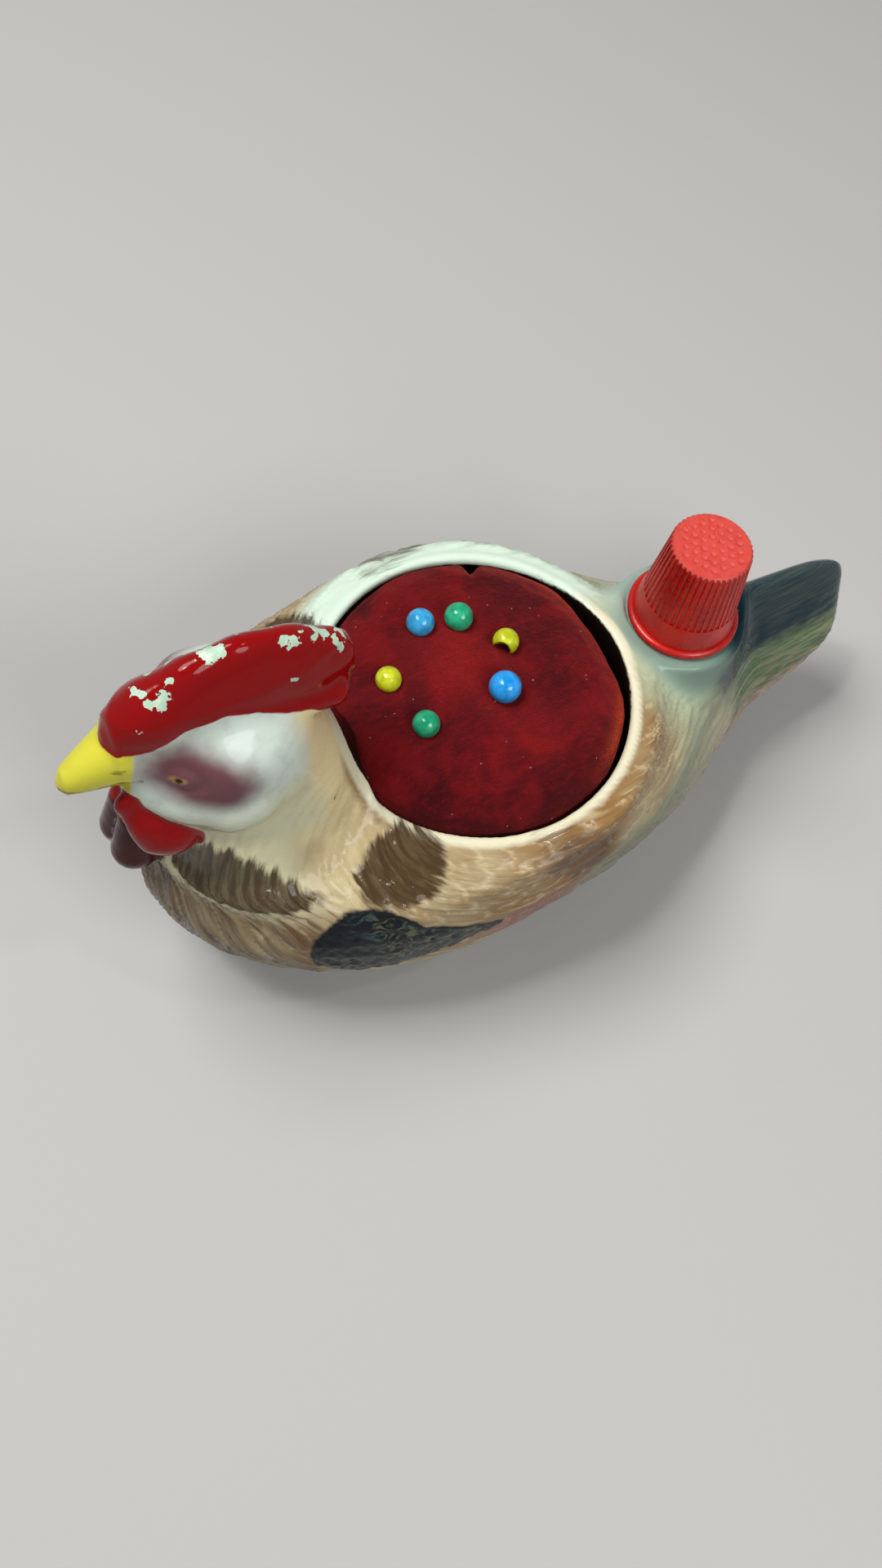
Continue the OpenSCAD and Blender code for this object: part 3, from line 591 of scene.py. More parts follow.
    # Painted shade: the inside of the bowl round the cushion is painted near black, where shade falls in the gap.
    layers["bowl"] = area["in_bowl"]
    layers["chip"] = near(p, CHIPS)
    bare = np.max([layers["red"], layers["lobe_shade"], layers["yellow"], face], axis=0)
    combed = smooth(1, -1.5, bare) * (1 - area["bowl"]) * (1 - area["rim"]) * (1 - 0.7 * far_band)
    combed = combed * (1 - 0.88 * area["neck"]) * smooth(13, 22, area["post"]) * (1 - 0.85 * smooth(0, 2, ridge))
    layers["combed"] = combed
    layers["spot"] = near(p, [[-35.5, -17.1, 40.4, 0.55], [-24.5, 13.2, 47, 0.4]])
    crack = inside(x, z, (-21.9, 47.9), (1.5, 0.22), 25)
    layers["crack"] = np.where((y < -7) & (y > -11), crack, -2)
    return wash, layers


# Chips in the comb's cold paint: place and radius
CHIPS = [
    [-35.7, 0.2, 80.5, 1.5],
    [-34.5, 0.0, 80.7, 1.1],
    [-45.2, 0.8, 77.1, 0.9],
    [-44.8, -0.2, 77.4, 0.8],
    [-44.5, -2.0, 76.8, 0.7],
    [-43.2, -2.3, 77.2, 1.0],
    [-42.3, -2.0, 77.8, 0.6],
    [-41.3, -0.8, 78.9, 0.5],
    [-25.6, -1.4, 78.8, 0.8],
    [-24.4, -1.2, 78.6, 0.9],
    [-23.4, -0.7, 78.3, 0.6],
    [-21.4, -1.2, 76.9, 0.6],
    [-19.4, -0.4, 76.0, 0.9],
    [-18.3, -1.2, 74.8, 0.8],
    [-17.4, -1.6, 73.4, 0.9],
    [-17.2, 0.2, 73.8, 1.0],
    [-25.7, -4.2, 74.1, 0.6],
    [-42.8, 2.6, 76.7, 0.6],
    [-40.0, 2.4, 78.2, 0.5],
    [-38.0, 2.4, 79.2, 0.55],
    [-31.0, 1.6, 80.2, 0.5],
    [-26.0, 1.5, 79.5, 0.7],
    [-21.0, 0.9, 77.0, 1.0],
    [-46.5, -3.3, 74.4, 0.35],
    [-33.5, 3.0, 79.4, 0.8],
    [-29.0, 3.2, 79.0, 0.7],
]


class Shader:
    """A material whose nodes are wired up by short calls, each giving a socket."""

    def __init__(self, name):
        self.material = bpy.data.materials.new(name)
        self.material.use_nodes = True
        self.nodes = self.material.node_tree.nodes
        self.links = self.material.node_tree.links
        self.skin = self.nodes["Principled BSDF"]

    def put(self, socket, value):
        if isinstance(value, bpy.types.NodeSocket):
            self.links.new(value, socket)
        elif isinstance(value, tuple) and len(value) == 3 and len(socket.default_value) == 4:
            socket.default_value = (*value, 1)
        else:
            socket.default_value = value

    def set(self, **inputs):
        for name, value in inputs.items():
            self.put(self.skin.inputs[name.replace("_", " ")], value)

    def place(self, scale=(1, 1, 1)):
        """Object position in millimetres, stretched by scale."""
        found = self.nodes.new("ShaderNodeTexCoord").outputs["Object"]
        return self.stretch(found, tuple(v / MM for v in scale))

    def stretch(self, vector, scale):
        node = self.nodes.new("ShaderNodeVectorMath")
        node.operation = "MULTIPLY"
        self.put(node.inputs[0], vector)
        node.inputs[1].default_value = scale
        return node.outputs[0]

    def stored(self, name, output="Fac"):
        node = self.nodes.new("ShaderNodeAttribute")
        node.attribute_name = name
        return node.outputs[output]

    def noise(self, vector, scale=1.0, detail=2.0, roughness=0.5, distortion=0.0):
        node = self.nodes.new("ShaderNodeTexNoise")
        self.put(node.inputs["Vector"], vector)
        node.inputs["Scale"].default_value = scale
        node.inputs["Detail"].default_value = detail
        node.inputs["Roughness"].default_value = roughness
        node.inputs["Distortion"].default_value = distortion
        return node.outputs["Fac"]

    def cells(self, vector, scale=1.0, feature="F1"):
        node = self.nodes.new("ShaderNodeTexVoronoi")
        node.feature = feature
        self.put(node.inputs["Vector"], vector)
        node.inputs["Scale"].default_value = scale
        return node.outputs["Distance"]

    def split(self, vector, axis):
        node = self.nodes.new("ShaderNodeSeparateXYZ")
        self.put(node.inputs[0], vector)
        return node.outputs[axis]

    def sum(self, operation, a, b=0.0, c=None):
        node = self.nodes.new("ShaderNodeMath")
        node.operation = operation
        for socket, value in zip(node.inputs, (a, b, c)):
            if value is not None:
                self.put(socket, value)
        return node.outputs[0]

    def step(self, value, low, high, low_out=0.0, high_out=1.0):
        node = self.nodes.new("ShaderNodeMapRange")
        node.interpolation_type = "SMOOTHSTEP"
        for socket, given in zip(node.inputs, (value, low, high, low_out, high_out)):
            self.put(socket, given)
        return node.outputs["Result"]

    def mix(self, share, a, b, how="MIX"):
        node = self.nodes.new("ShaderNodeMix")
        node.data_type = "RGBA"
        node.blend_type = how
        self.put(node.inputs["Factor"], share)
        self.put(node.inputs["A"], a)
        self.put(node.inputs["B"], b)
        for socket in node.inputs:
            if socket.name in "AB" and socket.type == "RGBA":
                self.put(socket, a if socket.name == "A" else b)
        return next(o for o in node.outputs if o.type == "RGBA")

    def bump(self, height, distance, strength=1.0, under=None):
        node = self.nodes.new("ShaderNodeBump")
        self.put(node.inputs["Height"], height)
        node.inputs["Distance"].default_value = distance * MM
        node.inputs["Strength"].default_value = strength
        if under is not None:
            self.put(node.inputs["Normal"], under)
        return node.outputs["Normal"]


def glaze_material():
    """Hand-painted glaze: washes stored on the mesh, then brushed layers with ragged edges."""
    m = Shader("painted_glaze")
    brush = m.noise(m.stored("stroke", "Vector"), 1.0, 3.0, 0.6)
    blot = m.noise(m.place(), 0.9, 4.0, 0.6)
    mist = m.noise(m.place(), 0.14, 3.0, 0.55)
    colour = m.stored("wash", "Color")
    tint = m.mix(m.step(brush, 0.35, 0.75), colour, (1.0, 0.93, 0.82), "MULTIPLY")
    colour = m.mix(0.55, colour, tint)

    hairs = m.noise(m.stretch(m.stored("stroke", "Vector"), (0.6, 0.55, 1)), 1.0, 4.0, 0.65)
    broad = m.noise(m.stretch(m.stored("stroke", "Vector"), (0.36, 0.5, 1)), 1.0, 2.5, 0.55)
    fingers = m.sum("MULTIPLY", m.sum("ADD", broad, hairs), 0.5)

    combed = m.stored("combed")
    light = m.sum("MULTIPLY", combed, m.step(hairs, 0.52, 0.66, 0, 0.45))
    colour = m.mix(light, colour, srgb(216, 202, 164))
    dark = m.sum("MULTIPLY", combed, m.step(hairs, 0.48, 0.34, 0, 0.55))
    colour = m.mix(dark, colour, m.mix(1.0, colour, (0.66, 0.54, 0.4), "MULTIPLY"))

    def paint(over, layer, colour, texture, ragged, soft, strength, dry=0.0):
        level = m.sum("MULTIPLY_ADD", m.sum("SUBTRACT", texture, 0.5), ragged, m.stored(layer))
        share = m.sum("MULTIPLY", m.step(level, -soft, soft), strength)
        if dry:
            share = m.sum("MULTIPLY", share, m.step(hairs, 0.36, 0.6, 1 - dry, 1))
        return m.mix(share, over, srgb(*colour))

    level = m.sum("MULTIPLY_ADD", m.sum("SUBTRACT", mist, 0.5), 3.0, m.stored("white"))
    # White face paint, cream low down. Its upper part is painted lighter and bluer, a painted highlight.
    face = m.mix(m.step(m.split(m.place(), "Z"), 54, 62), srgb(200, 198, 164), srgb(208, 222, 212))
    face = m.mix(m.step(m.noise(m.place(), 0.32, 4.0, 0.6), 0.45, 0.7, 0, 0.4), face, srgb(176, 178, 160))
    colour = m.mix(m.step(level, -2.2, 2.2, 0, 0.95), colour, face)
    colour = paint(colour, "brown", (80, 48, 23), fingers, 13.0, 1.6, 0.86, 0.35)
    colour = paint(colour, "plum", (90, 66, 54), fingers, 13.0, 1.8, 0.85, 0.35)
    colour = paint(colour, "pink", (150, 92, 98), broad, 8.0, 2.4, 0.6, 0.3)
    colour = paint(colour, "moss", (84, 112, 98), fingers, 8.0, 2.6, 0.6, 0.4)
    colour = paint(colour, "umber", (66, 46, 26), fingers, 12.0, 1.4, 0.96, 0.12)
    colour = paint(colour, "rose", (186, 148, 142), brush, 9.0, 2.0, 0.85, 0.5)
    colour = paint(colour, "fern", (46, 92, 52), brush, 9.0, 1.8, 0.85, 0.5)
    colour = paint(colour, "teal", (5, 40, 54), mist, 5.0, 2.0, 0.97, 0.08)
    colour = paint(colour, "navy", (2, 14, 26), mist, 2.0, 0.3, 0.98)
    warp = m.noise(m.place((1, 1, 1.4)), 0.2, 2.0, 0.5)
    curls = m.sum("SINE", m.sum("MULTIPLY_ADD", warp, 40.0, m.sum("MULTIPLY", m.split(m.place(), "X"), 1.1)))
    curls = m.sum("MULTIPLY", m.step(curls, -0.2, 1.0), m.step(m.stored("navy"), 0.2, 1.2))
    curls = m.sum("MULTIPLY", curls, m.sum("MULTIPLY", m.stored("curl"), m.step(blot, 0.35, 0.6, 0.1, 0.8)))
    colour = m.mix(curls, colour, m.mix(m.step(mist, 0.4, 0.6), srgb(66, 92, 94), srgb(104, 108, 80)))
    colour = paint(colour, "mauve", (100, 44, 56), mist, 3.0, 2.1, 0.95)
    colour = paint(colour, "iris", (168, 140, 84), blot, 0.5, 0.25, 0.75)
    colour = paint(colour, "pupil", (18, 14, 14), blot, 0.3, 0.15, 0.95)
    # Painted shade: near black inside the bowl, below the rim.
    colour = paint(colour, "bowl", (20, 15, 12), blot, 0.3, 0.12, 1.0)
    colour = paint(colour, "yellow", (214, 208, 66), mist, 1.2, 0.3, 1.0)
    colour = paint(colour, "mouth", (96, 70, 20), blot, 0.3, 0.2, 0.7)
    # Painted shade on the lower part of the lobes.
    colour = paint(colour, "lobe_shade", (62, 5, 9), blot, 1.0, 0.3, 1.0)
    colour = paint(colour, "red", (138, 8, 10), mist, 1.6, 0.14, 1.0)
    pale = m.mix(m.step(blot, 0.35, 0.6), srgb(214, 226, 206), srgb(176, 206, 182))
    level = m.sum("MULTIPLY_ADD", m.sum("SUBTRACT", m.noise(m.place(), 0.9, 2.0, 0.5), 0.5), 2.8, m.stored("chip"))
    chipped = m.step(level, 0.02, 0.12)
    colour = m.mix(chipped, colour, pale)
    colour = paint(colour, "spot", (238, 238, 228), blot, 0.3, 0.1, 1.0)
    colour = paint(colour, "crack", (50, 44, 38), blot, 0.5, 0.1, 0.9)
    worn = m.step(m.noise(m.place(), 2.2, 3.0, 0.6), 0.3, 0.8, 0.06, 0.16)
    rough = m.sum("MULTIPLY_ADD", chipped, 0.45, worn)
    m.set(Base_Color=colour, Roughness=rough, Specular_IOR_Level=0.16)
    peel = m.bump(m.noise(m.place(), 0.7, 2.0, 0.4), 0.12, 0.3)
    etched = m.bump(m.sum("MULTIPLY", m.sum("ADD", brush, hairs), combed), 0.12, 0.35, peel)
    flake = m.bump(chipped, -0.12, 0.8, etched)
    m.put(m.skin.inputs["Normal"], flake)
    return m.material


def store(mesh, name, values):
    values = np.asarray(values, np.float32)
    kind, field = {1: ("FLOAT", "value"), 3: ("FLOAT_VECTOR", "vector"), 4: ("FLOAT_COLOR", "color")}[
        1 if values.ndim == 1 else values.shape[1]
    ]
    layer = mesh.attributes.new(name, kind, "POINT")
    layer.data.foreach_set(field, values.ravel())


def strokes(p):
    """Brush coordinates: the first runs across the strokes and the second along them."""
    cross, along, _ = flow(p)
    return np.stack([cross / 0.55, along / 5.5, np.sign(p[:, 1]) * 3], axis=1)


def make_hen():
    field, parts = hen_fields()
    points, quads = hen_grid.skin(field)
    area = hen_surface(points)
    out = relief_of(points, area, parts)
    points = points + hen_grid.directions(field, points) * out[:, None]
    inset = 0.02
    points = np.clip(points, HEN_LOW + [inset, inset, 0], HEN_HIGH - inset)
    wash, layers = paint_of(points, area, parts)
    hen = make_mesh("hen", points, quads)
    store(hen.data, "wash", np.c_[wash, np.ones(len(wash))])
    store(hen.data, "stroke", strokes(points))
    for name, values in layers.items():
        store(hen.data, name, np.clip(values, -12, 12))
    hen.data.materials.append(glaze_material())
    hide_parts("ceramic_hen")
    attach(hen, "hen")
    return hen


# Velvet cushion
HOLE_X, HOLE_Y = OPEN_X - 0.9, -5.6


def pin_places():
    """Middle, radius and pull direction of each pin's head, as the frame has them."""
    pulls = {j["child"]: np.array(j["axis"]) for j in frame["joints"]}
    places = []
    for n in range(1, 7):
        low, high = corners(f"pin_head_{n}")
        places.append(((low + high) / 2, (high[0] - low[0]) / 2, pulls[f"pin_{n}"]))
    return places


PINS = pin_places()


def cushion_form():
    """Crowned, drawn-in cushion: a distance field turned round the opening's axis."""
    grid = Grid(COVER_LOW - 2, COVER_HIGH + 2, 1.45)
    r = np.hypot(grid.x - OPEN_X, grid.y)
    low, top = COVER_LOW[2], RIM_H + CROWN_RISE + 0.3
    heights = [low, low + 0.4, low + 3, low + 8, low + 14, RIM_H - 11, RIM_H - 5, RIM_H - 1, RIM_H + 4]
    radii = [14, 15.6, 19.2, 22.4, 24.4, 24.9, 24.6, 24.7, 24.7]
    side = np.interp(grid.axes[2], heights, radii)[None, None, :]
    dome = np.interp(r, [0, 6, 11, 15, 19, 22, 24.5], [top, top - 0.1, top - 0.4, top - 0.9, top - 1.6, top - 2.4, top - 3.3])
    body = soft_max((r - side) * 0.95, low - grid.z, 1.5)
    body = soft_max(body, (grid.z - dome) * 0.97, 1.6)
    return grid.skin(body.astype(np.float32))


def puff(points, faces):
    """Lets the stuffing press the velvet out, by a cloth simulation ten times the real size."""
    scale = 10
    cushion = make_mesh("cushion_sim", (points - [OPEN_X, 0, RIM_H - 15]) * scale, faces)
    held = cushion.vertex_groups.new(name="held")
    for n, q in enumerate(points):
        edge = smooth(21.5, 23.8, math.hypot(q[0] - OPEN_X, q[1]))
        held.add([n], float(max(edge, smooth(RIM_H - 3, RIM_H - 6, q[2]))), "REPLACE")
    cloth = cushion.modifiers.new("stuffed", "CLOTH")
    cloth.settings.quality = 5
    cloth.settings.use_pressure = True
    cloth.settings.uniform_pressure_force = 4
    cloth.settings.shrink_min = -0.05
    cloth.settings.vertex_group_mass = "held"
    cloth.settings.effector_weights.gravity = 0
    cloth.collision_settings.use_collision = False
    frames = 20
    cloth.point_cache.frame_end = frames
    scene = bpy.context.scene
    for n in range(1, frames + 1):
        scene.frame_set(n)
    shaped = cushion.evaluated_get(bpy.context.evaluated_depsgraph_get())
    moved = np.empty(len(points) * 3, np.float32)
    shaped.data.vertices.foreach_get("co", moved)
    scene.frame_set(1)
    bpy.data.objects.remove(cushion)
    moved = moved.reshape(-1, 3) / MM / scale + [OPEN_X, 0, RIM_H - 15]
    way = moved - points
    most = 1.3
    length = np.maximum(np.linalg.norm(way, axis=1, keepdims=True), 1e-6)
    return points + way * np.minimum(1, most / length)


def cushion_detail(p):
    """Drawn-in edge, dents round the pins, lumps and creases, on the finer mesh."""
    x, y, z = p.T
    r = np.hypot(x - OPEN_X, y)
    turn = np.degrees(np.arctan2(y, x - OPEN_X))
    top = smooth(RIM_H - 5, RIM_H - 1, z)
    upper = smooth(RIM_H - 12, RIM_H - 3, z)
    gap = bump(turn, -1, 22) * 1.7 + bump(turn, 150, 22) * 0.5 + bump(turn, 64, 2.6) * 1.6
    pleats = 0.5 - 0.5 * np.cos(np.radians(11 * turn + 60 * np.sin(np.radians(turn))))
    pull = upper * (gap * smooth(17, 23.5, r) + 0.25 * pleats * smooth(19, 24, r))
    drawn = np.maximum(r - pull, 0.01) / np.maximum(r, 0.01)
    x = OPEN_X + (x - OPEN_X) * drawn
    y = y * drawn
    dent = np.zeros(len(p))
    for middle, radius, _ in PINS:
        away = np.hypot(x - middle[0], y - middle[1])
        round_pin = np.arctan2(y - middle[1], x - middle[0])
        dent += 0.55 * np.exp(-((away / (radius * 1.25)) ** 2))
        dent += 0.12 * np.sin(5 * round_pin + middle[0]) * np.exp(-away / 4) * smooth(0.5, 2, away)
    dent += 0.5 * np.exp(-((np.hypot(x - HOLE_X, (y - HOLE_Y) * 1.6) / 0.7) ** 2))
    lumps = 0.42 * grain(p, 11, 2) + 0.16 * grain(p + 30, 3.4, 2)
    nap = 0.05 * noise(p, 0.5)
    z = z + top * (lumps + nap - dent) - 0.5 * bump(turn, 64, 3) * smooth(22, 24.4, r)
    return np.stack([x, y, z], axis=1)


def subdivided(piece, levels):
    rounder = piece.modifiers.new("rounder", "SUBSURF")
    rounder.levels = levels
    shaped = piece.evaluated_get(bpy.context.evaluated_depsgraph_get())
    mesh = bpy.data.meshes.new_from_object(shaped)
    piece.modifiers.clear()
    piece.data = mesh


def make_cushion():
    points, faces = cushion_form()
    points = puff(points, faces)
    cushion = make_mesh("cushion", points, faces)
    subdivided(cushion, 2)
    count = len(cushion.data.vertices)
    flat = np.empty(count * 3, np.float32)
    cushion.data.vertices.foreach_get("co", flat)
    fine = cushion_detail(flat.reshape(-1, 3) / MM)
    cushion.data.vertices.foreach_set("co", (fine * MM).astype(np.float32).ravel())
    place = fine - [OPEN_X, 0, 0]
    reach = np.hypot(place[:, 0], place[:, 1])
    turn = np.degrees(np.arctan2(place[:, 1], place[:, 0]))
    worn = bump(turn, -42, 16) * bump(reach, 23.6, 1.1) + 0.6 * bump(turn, 22, 26) * bump(reach, 23.2, 0.9)
    store(cushion.data, "worn", worn * smooth(RIM_H - 4, RIM_H - 2, fine[:, 2]))
    # Two patches near the middle of the top where the velvet is paler red.
    paler_share = bump(np.hypot(place[:, 0] + 2, place[:, 1] - 3), 0, 7) + 0.6 * bump(np.hypot(place[:, 0] - 4, place[:, 1] + 12), 0, 6)
    store(cushion.data, "paler_share", np.clip(paler_share, 0, 1) * 0.6)
    cushion.data.materials.append(velvet_material())
    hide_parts("cushion_cover")
    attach(cushion, "hen")


def velvet_material():
    m = Shader("crimson_velvet")
    place = m.place()
    patches = m.noise(place, 0.09, 3.0, 0.55, 0.6)
    brushed = m.noise(m.place((0.5, 1.4, 1)), 0.9, 4.0, 0.7, 0.4)
    nap = m.noise(place, 4.5, 3.0, 0.7)
    deep = m.mix(m.step(patches, 0.36, 0.64), srgb(60, 4, 12), srgb(112, 10, 16))
    # Painted sheen: streaks along the brushed nap are painted lighter red, and others darker, as the nap catches the
    # light.
    deep = m.mix(m.step(brushed, 0.45, 0.75, 0, 0.45), deep, srgb(136, 18, 22))
    deep = m.mix(m.step(brushed, 0.46, 0.24, 0, 0.45), deep, srgb(60, 3, 14))
    deep = m.mix(m.step(nap, 0.58, 0.36, 0, 0.4), deep, srgb(46, 2, 10))
    # Paler red patches near the middle of the top.
    deep = m.mix(m.sum("MULTIPLY", m.stored("paler_share"), m.step(nap, 0.3, 0.6, 0.3, 1.0)), deep, srgb(160, 26, 26))
    deep = m.mix(m.sum("MULTIPLY", m.stored("worn"), m.step(nap, 0.35, 0.6, 0.1, 0.9)), deep, srgb(196, 70, 34))
    lint = m.step(m.cells(place, 0.42), 0.085, 0.05)
    lint = m.sum("MULTIPLY", lint, m.step(m.noise(place, 3.1), 0.5, 0.56))
    colour = m.mix(m.sum("MULTIPLY", lint, 0.6), deep, srgb(206, 170, 150))
    m.set(Base_Color=colour, Roughness=0.95, Specular_IOR_Level=0.15)
    m.set(Sheen_Weight=0.35, Sheen_Roughness=0.45, Sheen_Tint=(*srgb(235, 90, 80), 1))
    m.put(m.skin.inputs["Normal"], m.bump(nap, 0.28, 0.8, m.bump(brushed, 0.5, 0.5)))
    return m.material


# Pins
PIN_PAINTS = [(40, 152, 206), (6, 158, 112), (190, 198, 8), (190, 198, 8), (8, 148, 226), (6, 154, 108)]
CHIPPED = 3
BITE = np.array([-0.73, -0.52, -0.45])
BITE_LINE = np.array([-0.29, -0.36, 0.89])


def head_material(paint, n):
    m = Shader(f"pin_plastic_{n}")
    cloudy = m.noise(m.place(), 0.6, 2.0, 0.5)
    speck = m.step(m.noise(m.place(), 7.0, 2.0, 0.6), 0.66, 0.74, 0, 0.25)
    light = tuple(min(1.0, c * 1.15 + 0.02) for c in srgb(*paint))
    dark = tuple(c * 0.82 for c in srgb(*paint))
    colour = m.mix(m.step(cloudy, 0.35, 0.65), dark, light)
    colour = m.mix(speck, colour, srgb(236, 240, 230))
    rough = m.step(m.noise(m.place(), 3.0, 3.0, 0.6), 0.3, 0.8, 0.12, 0.3)
    m.set(Base_Color=colour, Roughness=rough, Subsurface_Weight=0.12, Subsurface_Scale=0.0006)
    m.put(m.skin.inputs["Normal"], m.bump(m.noise(m.place(), 1.6, 2.0, 0.5), 0.05, 0.4))
    return m.material


def make_pin_head(n, middle, radius, pull):
    """Moulded ball with a faint parting line and a short collar where it grips the shaft."""
    cell = radius / 21
    grid = Grid(middle - radius - 4 * cell, middle + radius + 4 * cell, cell)
    dx, dy, dz = (v - m for v, m in zip((grid.x, grid.y, grid.z), middle))
    r = np.sqrt(dx * dx + dy * dy + dz * dz)
    along = dx * pull[0] + dy * pull[1] + dz * pull[2]
    off_axis = np.sqrt(np.maximum(r * r - along * along, 0))
    seam = np.abs(dx * pull[2] - dz * pull[0])
    ball_skin = r - (radius - 0.05) - 0.03 * np.exp(-((seam / 0.1) ** 2))
    flat = soft_max(ball_skin, along - radius * 0.965, 0.25)
    collar = np.maximum(off_axis - 0.62, np.abs(along + radius * 0.9) - 0.2)
    shape = soft_min(flat, collar, 0.3)
    if n == CHIPPED:
        ax, ay, az = (d - b * radius for d, b in zip((dx, dy, dz), BITE))
        through = ax * BITE_LINE[0] + ay * BITE_LINE[1] + az * BITE_LINE[2]
        hole = np.sqrt(np.maximum(ax * ax + ay * ay + az * az - 0.9 * through * through, 0)) - radius * 0.78
        rough = 0.05 * np.sin(9 * dx + 4 * dz) * np.sin(8 * dy - 5 * dz)
        shape = soft_max(shape, -(hole + rough), 0.08)
    points, faces = grid.skin(shape.astype(np.float32))
    head = make_mesh(f"pin_ball_{n}", points, faces)
    head.data.materials.append(head_material(PIN_PAINTS[n - 1], n))
    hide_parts(f"pin_head_{n}")
    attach(head, f"pin_{n}")


def steel_material():
    m = Shader("pin_steel")
    drawn = m.noise(m.place((6, 6, 0.3)), 1.0, 3.0, 0.6)
    colour = m.mix(drawn, srgb(150, 150, 154), srgb(205, 206, 208))
    m.set(Base_Color=colour, Metallic=1.0, Roughness=m.step(drawn, 0.3, 0.8, 0.22, 0.38))
    return m.material


# Thimble and the pieces inside the cushion
def thimble_material():
    """Moulded red plastic, paler on its crown and in patches towards the top."""
    m = Shader("thimble_plastic")
    place = m.place()
    height = m.split(place, "Z")
    crown = m.step(height, THIMBLE_HIGH[2] - 0.9, THIMBLE_HIGH[2] - 0.15)
    scuff = m.noise(place, 1.1, 4.0, 0.65)
    clouds = m.noise(place, 0.22, 2.0, 0.5)
    colour = m.mix(m.step(clouds, 0.35, 0.65), srgb(172, 14, 4), srgb(194, 22, 8))
    # Paler red over the crown, in patches.
    paler_share = m.sum("MULTIPLY", crown, m.step(scuff, 0.25, 0.6, 0.45, 0.95))
    colour = m.mix(paler_share, colour, srgb(206, 72, 60))
    # Paler red in scattered patches, more of them towards the top.
    worn = m.sum("MULTIPLY", m.step(height, THIMBLE_LOW[2] + 5, THIMBLE_HIGH[2]), m.step(scuff, 0.56, 0.7, 0, 0.25))
    colour = m.mix(worn, colour, srgb(210, 74, 60))
    rough = m.sum("MULTIPLY_ADD", crown, 0.22, m.step(scuff, 0.3, 0.75, 0.24, 0.36))
    m.set(Base_Color=colour, Roughness=rough, Specular_IOR_Level=0.5)
    m.set(Subsurface_Weight=0.3, Subsurface_Scale=0.0012)
    m.put(m.skin.inputs["Normal"], m.bump(m.noise(place, 2.4, 3.0, 0.6), 0.05, 0.5))
    return m.material


def card_material():
    m = Shader("grey_card")
    pulp = m.noise(m.place((1, 1, 4)), 1.6, 4.0, 0.7)
    m.set(Base_Color=m.mix(pulp, srgb(150, 132, 104), srgb(186, 168, 136)), Roughness=0.9)
    m.put(m.skin.inputs["Normal"], m.bump(pulp, 0.12, 0.6))
    return m.material


def thread_material():
    m = Shader("cotton_thread")
    twist = m.noise(m.place((3, 3, 9)), 1.0, 2.0, 0.5)
    m.set(Base_Color=m.mix(twist, srgb(206, 196, 174), srgb(238, 232, 214)), Roughness=0.85)
    m.put(m.skin.inputs["Normal"], m.bump(twist, 0.12, 0.8))
    return m.material


def stuffing_material():
    m = Shader("wood_wool")
    fibre = m.noise(m.place((2.4, 0.5, 1.2)), 1.0, 4.0, 0.7, 1.5)
    m.set(Base_Color=m.mix(fibre, srgb(176, 146, 98), srgb(226, 204, 158)), Roughness=0.9)
    m.put(m.skin.inputs["Normal"], m.bump(fibre, 0.5, 0.8))
    return m.material


def dress(node, material):
    """Gives a CAD piece its finish."""
    slots = frame["nodes"][node].material_slots
    if not slots:
        frame["nodes"][node].data.materials.append(material)
    for slot in slots:
        slot.material = material


def dress_all():
    dress("thimble", thimble_material())
    dress("cushion_card", card_material())
    dress("gathering_thread", thread_material())
    dress("cushion_filling", stuffing_material())
    steel = steel_material()
    for n in range(1, 7):
        dress(f"pin_shaft_{n}", steel)


# Scene: camera, lamps, floor
def place_camera():
    """Camera as the photograph had it: worked out from the opening and the thimble's circles."""
    place = Vector((-65.1, -86.9, 226.7)) * MM
    azimuth, height, roll = (math.radians(a) for a in (-39.1, 62.6, 13.1))
    back = Vector((
        math.sin(azimuth) * math.cos(height), -math.cos(azimuth) * math.cos(height), math.sin(height)
    ))
    right = Vector((math.cos(azimuth), math.sin(azimuth), 0))
    up = back.cross(right)
    across = math.cos(roll) * right + math.sin(roll) * up
    upward = -math.sin(roll) * right + math.cos(roll) * up
    data = bpy.data.cameras.new("camera")
    data.sensor_width = 36
    data.lens = 31.3
    data.clip_start = 0.01
    camera = bpy.data.objects.new("camera", data)
    turn = Matrix((across, upward, back)).transposed()
    camera.matrix_world = Matrix.Translation(place) @ turn.to_4x4()
    bpy.context.scene.collection.objects.link(camera)
    bpy.context.scene.camera = camera


def add_lamp(name, place, target, size, watts, colour=(1, 1, 1)):
    data = bpy.data.lights.new(name, "AREA")
    data.shape = "ELLIPSE"
    data.size = size[0]
    data.size_y = size[1]
    data.energy = watts
    data.color = colour
    lamp = bpy.data.objects.new(name, data)
    lamp.location = place
    lamp.rotation_euler = (Vector(target) - Vector(place)).to_track_quat("-Z", "Y").to_euler()
    bpy.context.scene.collection.objects.link(lamp)


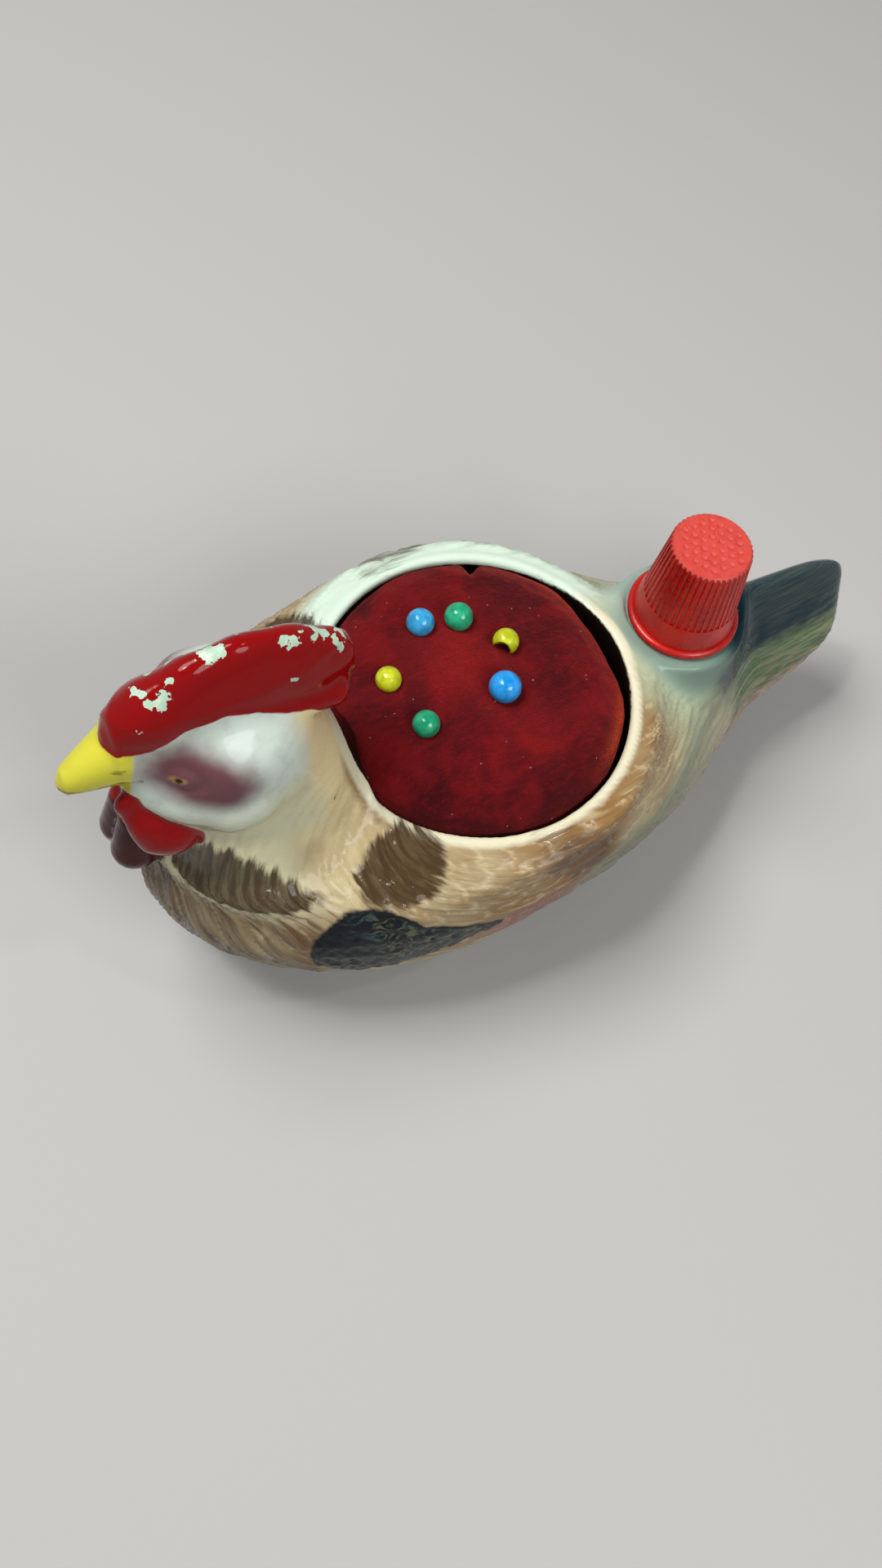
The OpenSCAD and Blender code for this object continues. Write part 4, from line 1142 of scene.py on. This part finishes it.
def place_stage():
    """Pale round floor that curves up into a wall, under a plain sky."""
    world = bpy.data.worlds.new("room")
    bpy.context.scene.world = world
    world.use_nodes = True
    world.node_tree.nodes["Background"].inputs["Color"].default_value = (1, 1, 1, 1)
    world.node_tree.nodes["Background"].inputs["Strength"].default_value = 0.2
    m = Shader("pale_floor")
    rays = m.nodes.new("ShaderNodeLightPath").outputs
    seen = m.sum("MAXIMUM", rays["Is Camera Ray"], rays["Is Glossy Ray"])
    seen = m.sum("MAXIMUM", seen, rays["Is Transmission Ray"])
    m.set(Base_Color=m.mix(seen, (0.24, 0.235, 0.225), (0.46, 0.455, 0.44)), Roughness=0.8)
    away = m.nodes.new("ShaderNodeVectorMath")
    away.operation = "LENGTH"
    m.put(away.inputs[0], m.place((MM, MM, MM)))
    glow = m.sum("MULTIPLY", seen, m.step(away.outputs["Value"], 0.3, 1.5, 0, 0.36))
    m.set(Emission_Color=(1.0, 0.99, 0.97), Emission_Strength=glow)
    flat, bend, wall = 0.9, 0.5, 1.6
    profile = [(0.0, 0.0), (flat, 0.0)]
    profile += [(flat + bend * math.sin(a), bend - bend * math.cos(a)) for a in np.linspace(0.15, math.pi / 2, 9)]
    profile.append((flat + bend, wall))
    sides = 64
    points = [
        (r * math.cos(2 * math.pi * n / sides) / MM, r * math.sin(2 * math.pi * n / sides) / MM, z / MM)
        for r, z in profile[1:]
        for n in range(sides)
    ]
    rows = len(profile) - 1
    faces = [
        (k * sides + n, k * sides + (n + 1) % sides, (k + 1) * sides + (n + 1) % sides, (k + 1) * sides + n)
        for k in range(rows - 1)
        for n in range(sides)
    ]
    wall_piece = make_mesh("backdrop", points, faces)
    wall_piece.data.materials.append(m.material)
    floor = make_mesh("floor", points[:sides], [tuple(range(sides))])
    floor.data.materials.append(m.material)
    add_lamp("key", (-0.25, 0.25, 0.75), (0, 0, 0.03), (0.46, 0.36), 5.2)
    add_lamp("fill", (0.15, -0.6, 0.6), (0, 0, 0.03), (0.45, 0.35), 3.4)
    add_lamp("window", (-0.3, 0.1, 0.8), (0, 0, 0.03), (0.09, 0.06), 0.9)
    add_lamp("glint", (0.3, -0.25, 0.8), (0, 0, 0.03), (0.06, 0.05), 0.5)
    bpy.context.scene.view_settings.view_transform = "Standard"


def make_mesh(name, points, faces):
    mesh = bpy.data.meshes.new(name)
    mesh.vertices.add(len(points))
    mesh.vertices.foreach_set("co", (np.asarray(points) * MM).astype(np.float32).ravel())
    faces = np.asarray(faces)
    sides = faces.shape[1]
    mesh.loops.add(faces.size)
    mesh.loops.foreach_set("vertex_index", faces.astype(np.int32).ravel())
    mesh.polygons.add(len(faces))
    mesh.polygons.foreach_set("loop_start", np.arange(0, faces.size, sides, dtype=np.int32))
    mesh.update(calc_edges=True)
    mesh.polygons.foreach_set("use_smooth", np.ones(len(faces), bool))
    mesh.validate()
    piece = bpy.data.objects.new(name, mesh)
    bpy.context.scene.collection.objects.link(piece)
    return piece


place_camera()
place_stage()
make_hen()
make_cushion()
for number, (middle, radius, pull) in enumerate(PINS, 1):
    make_pin_head(number, middle, radius, pull)
dress_all()
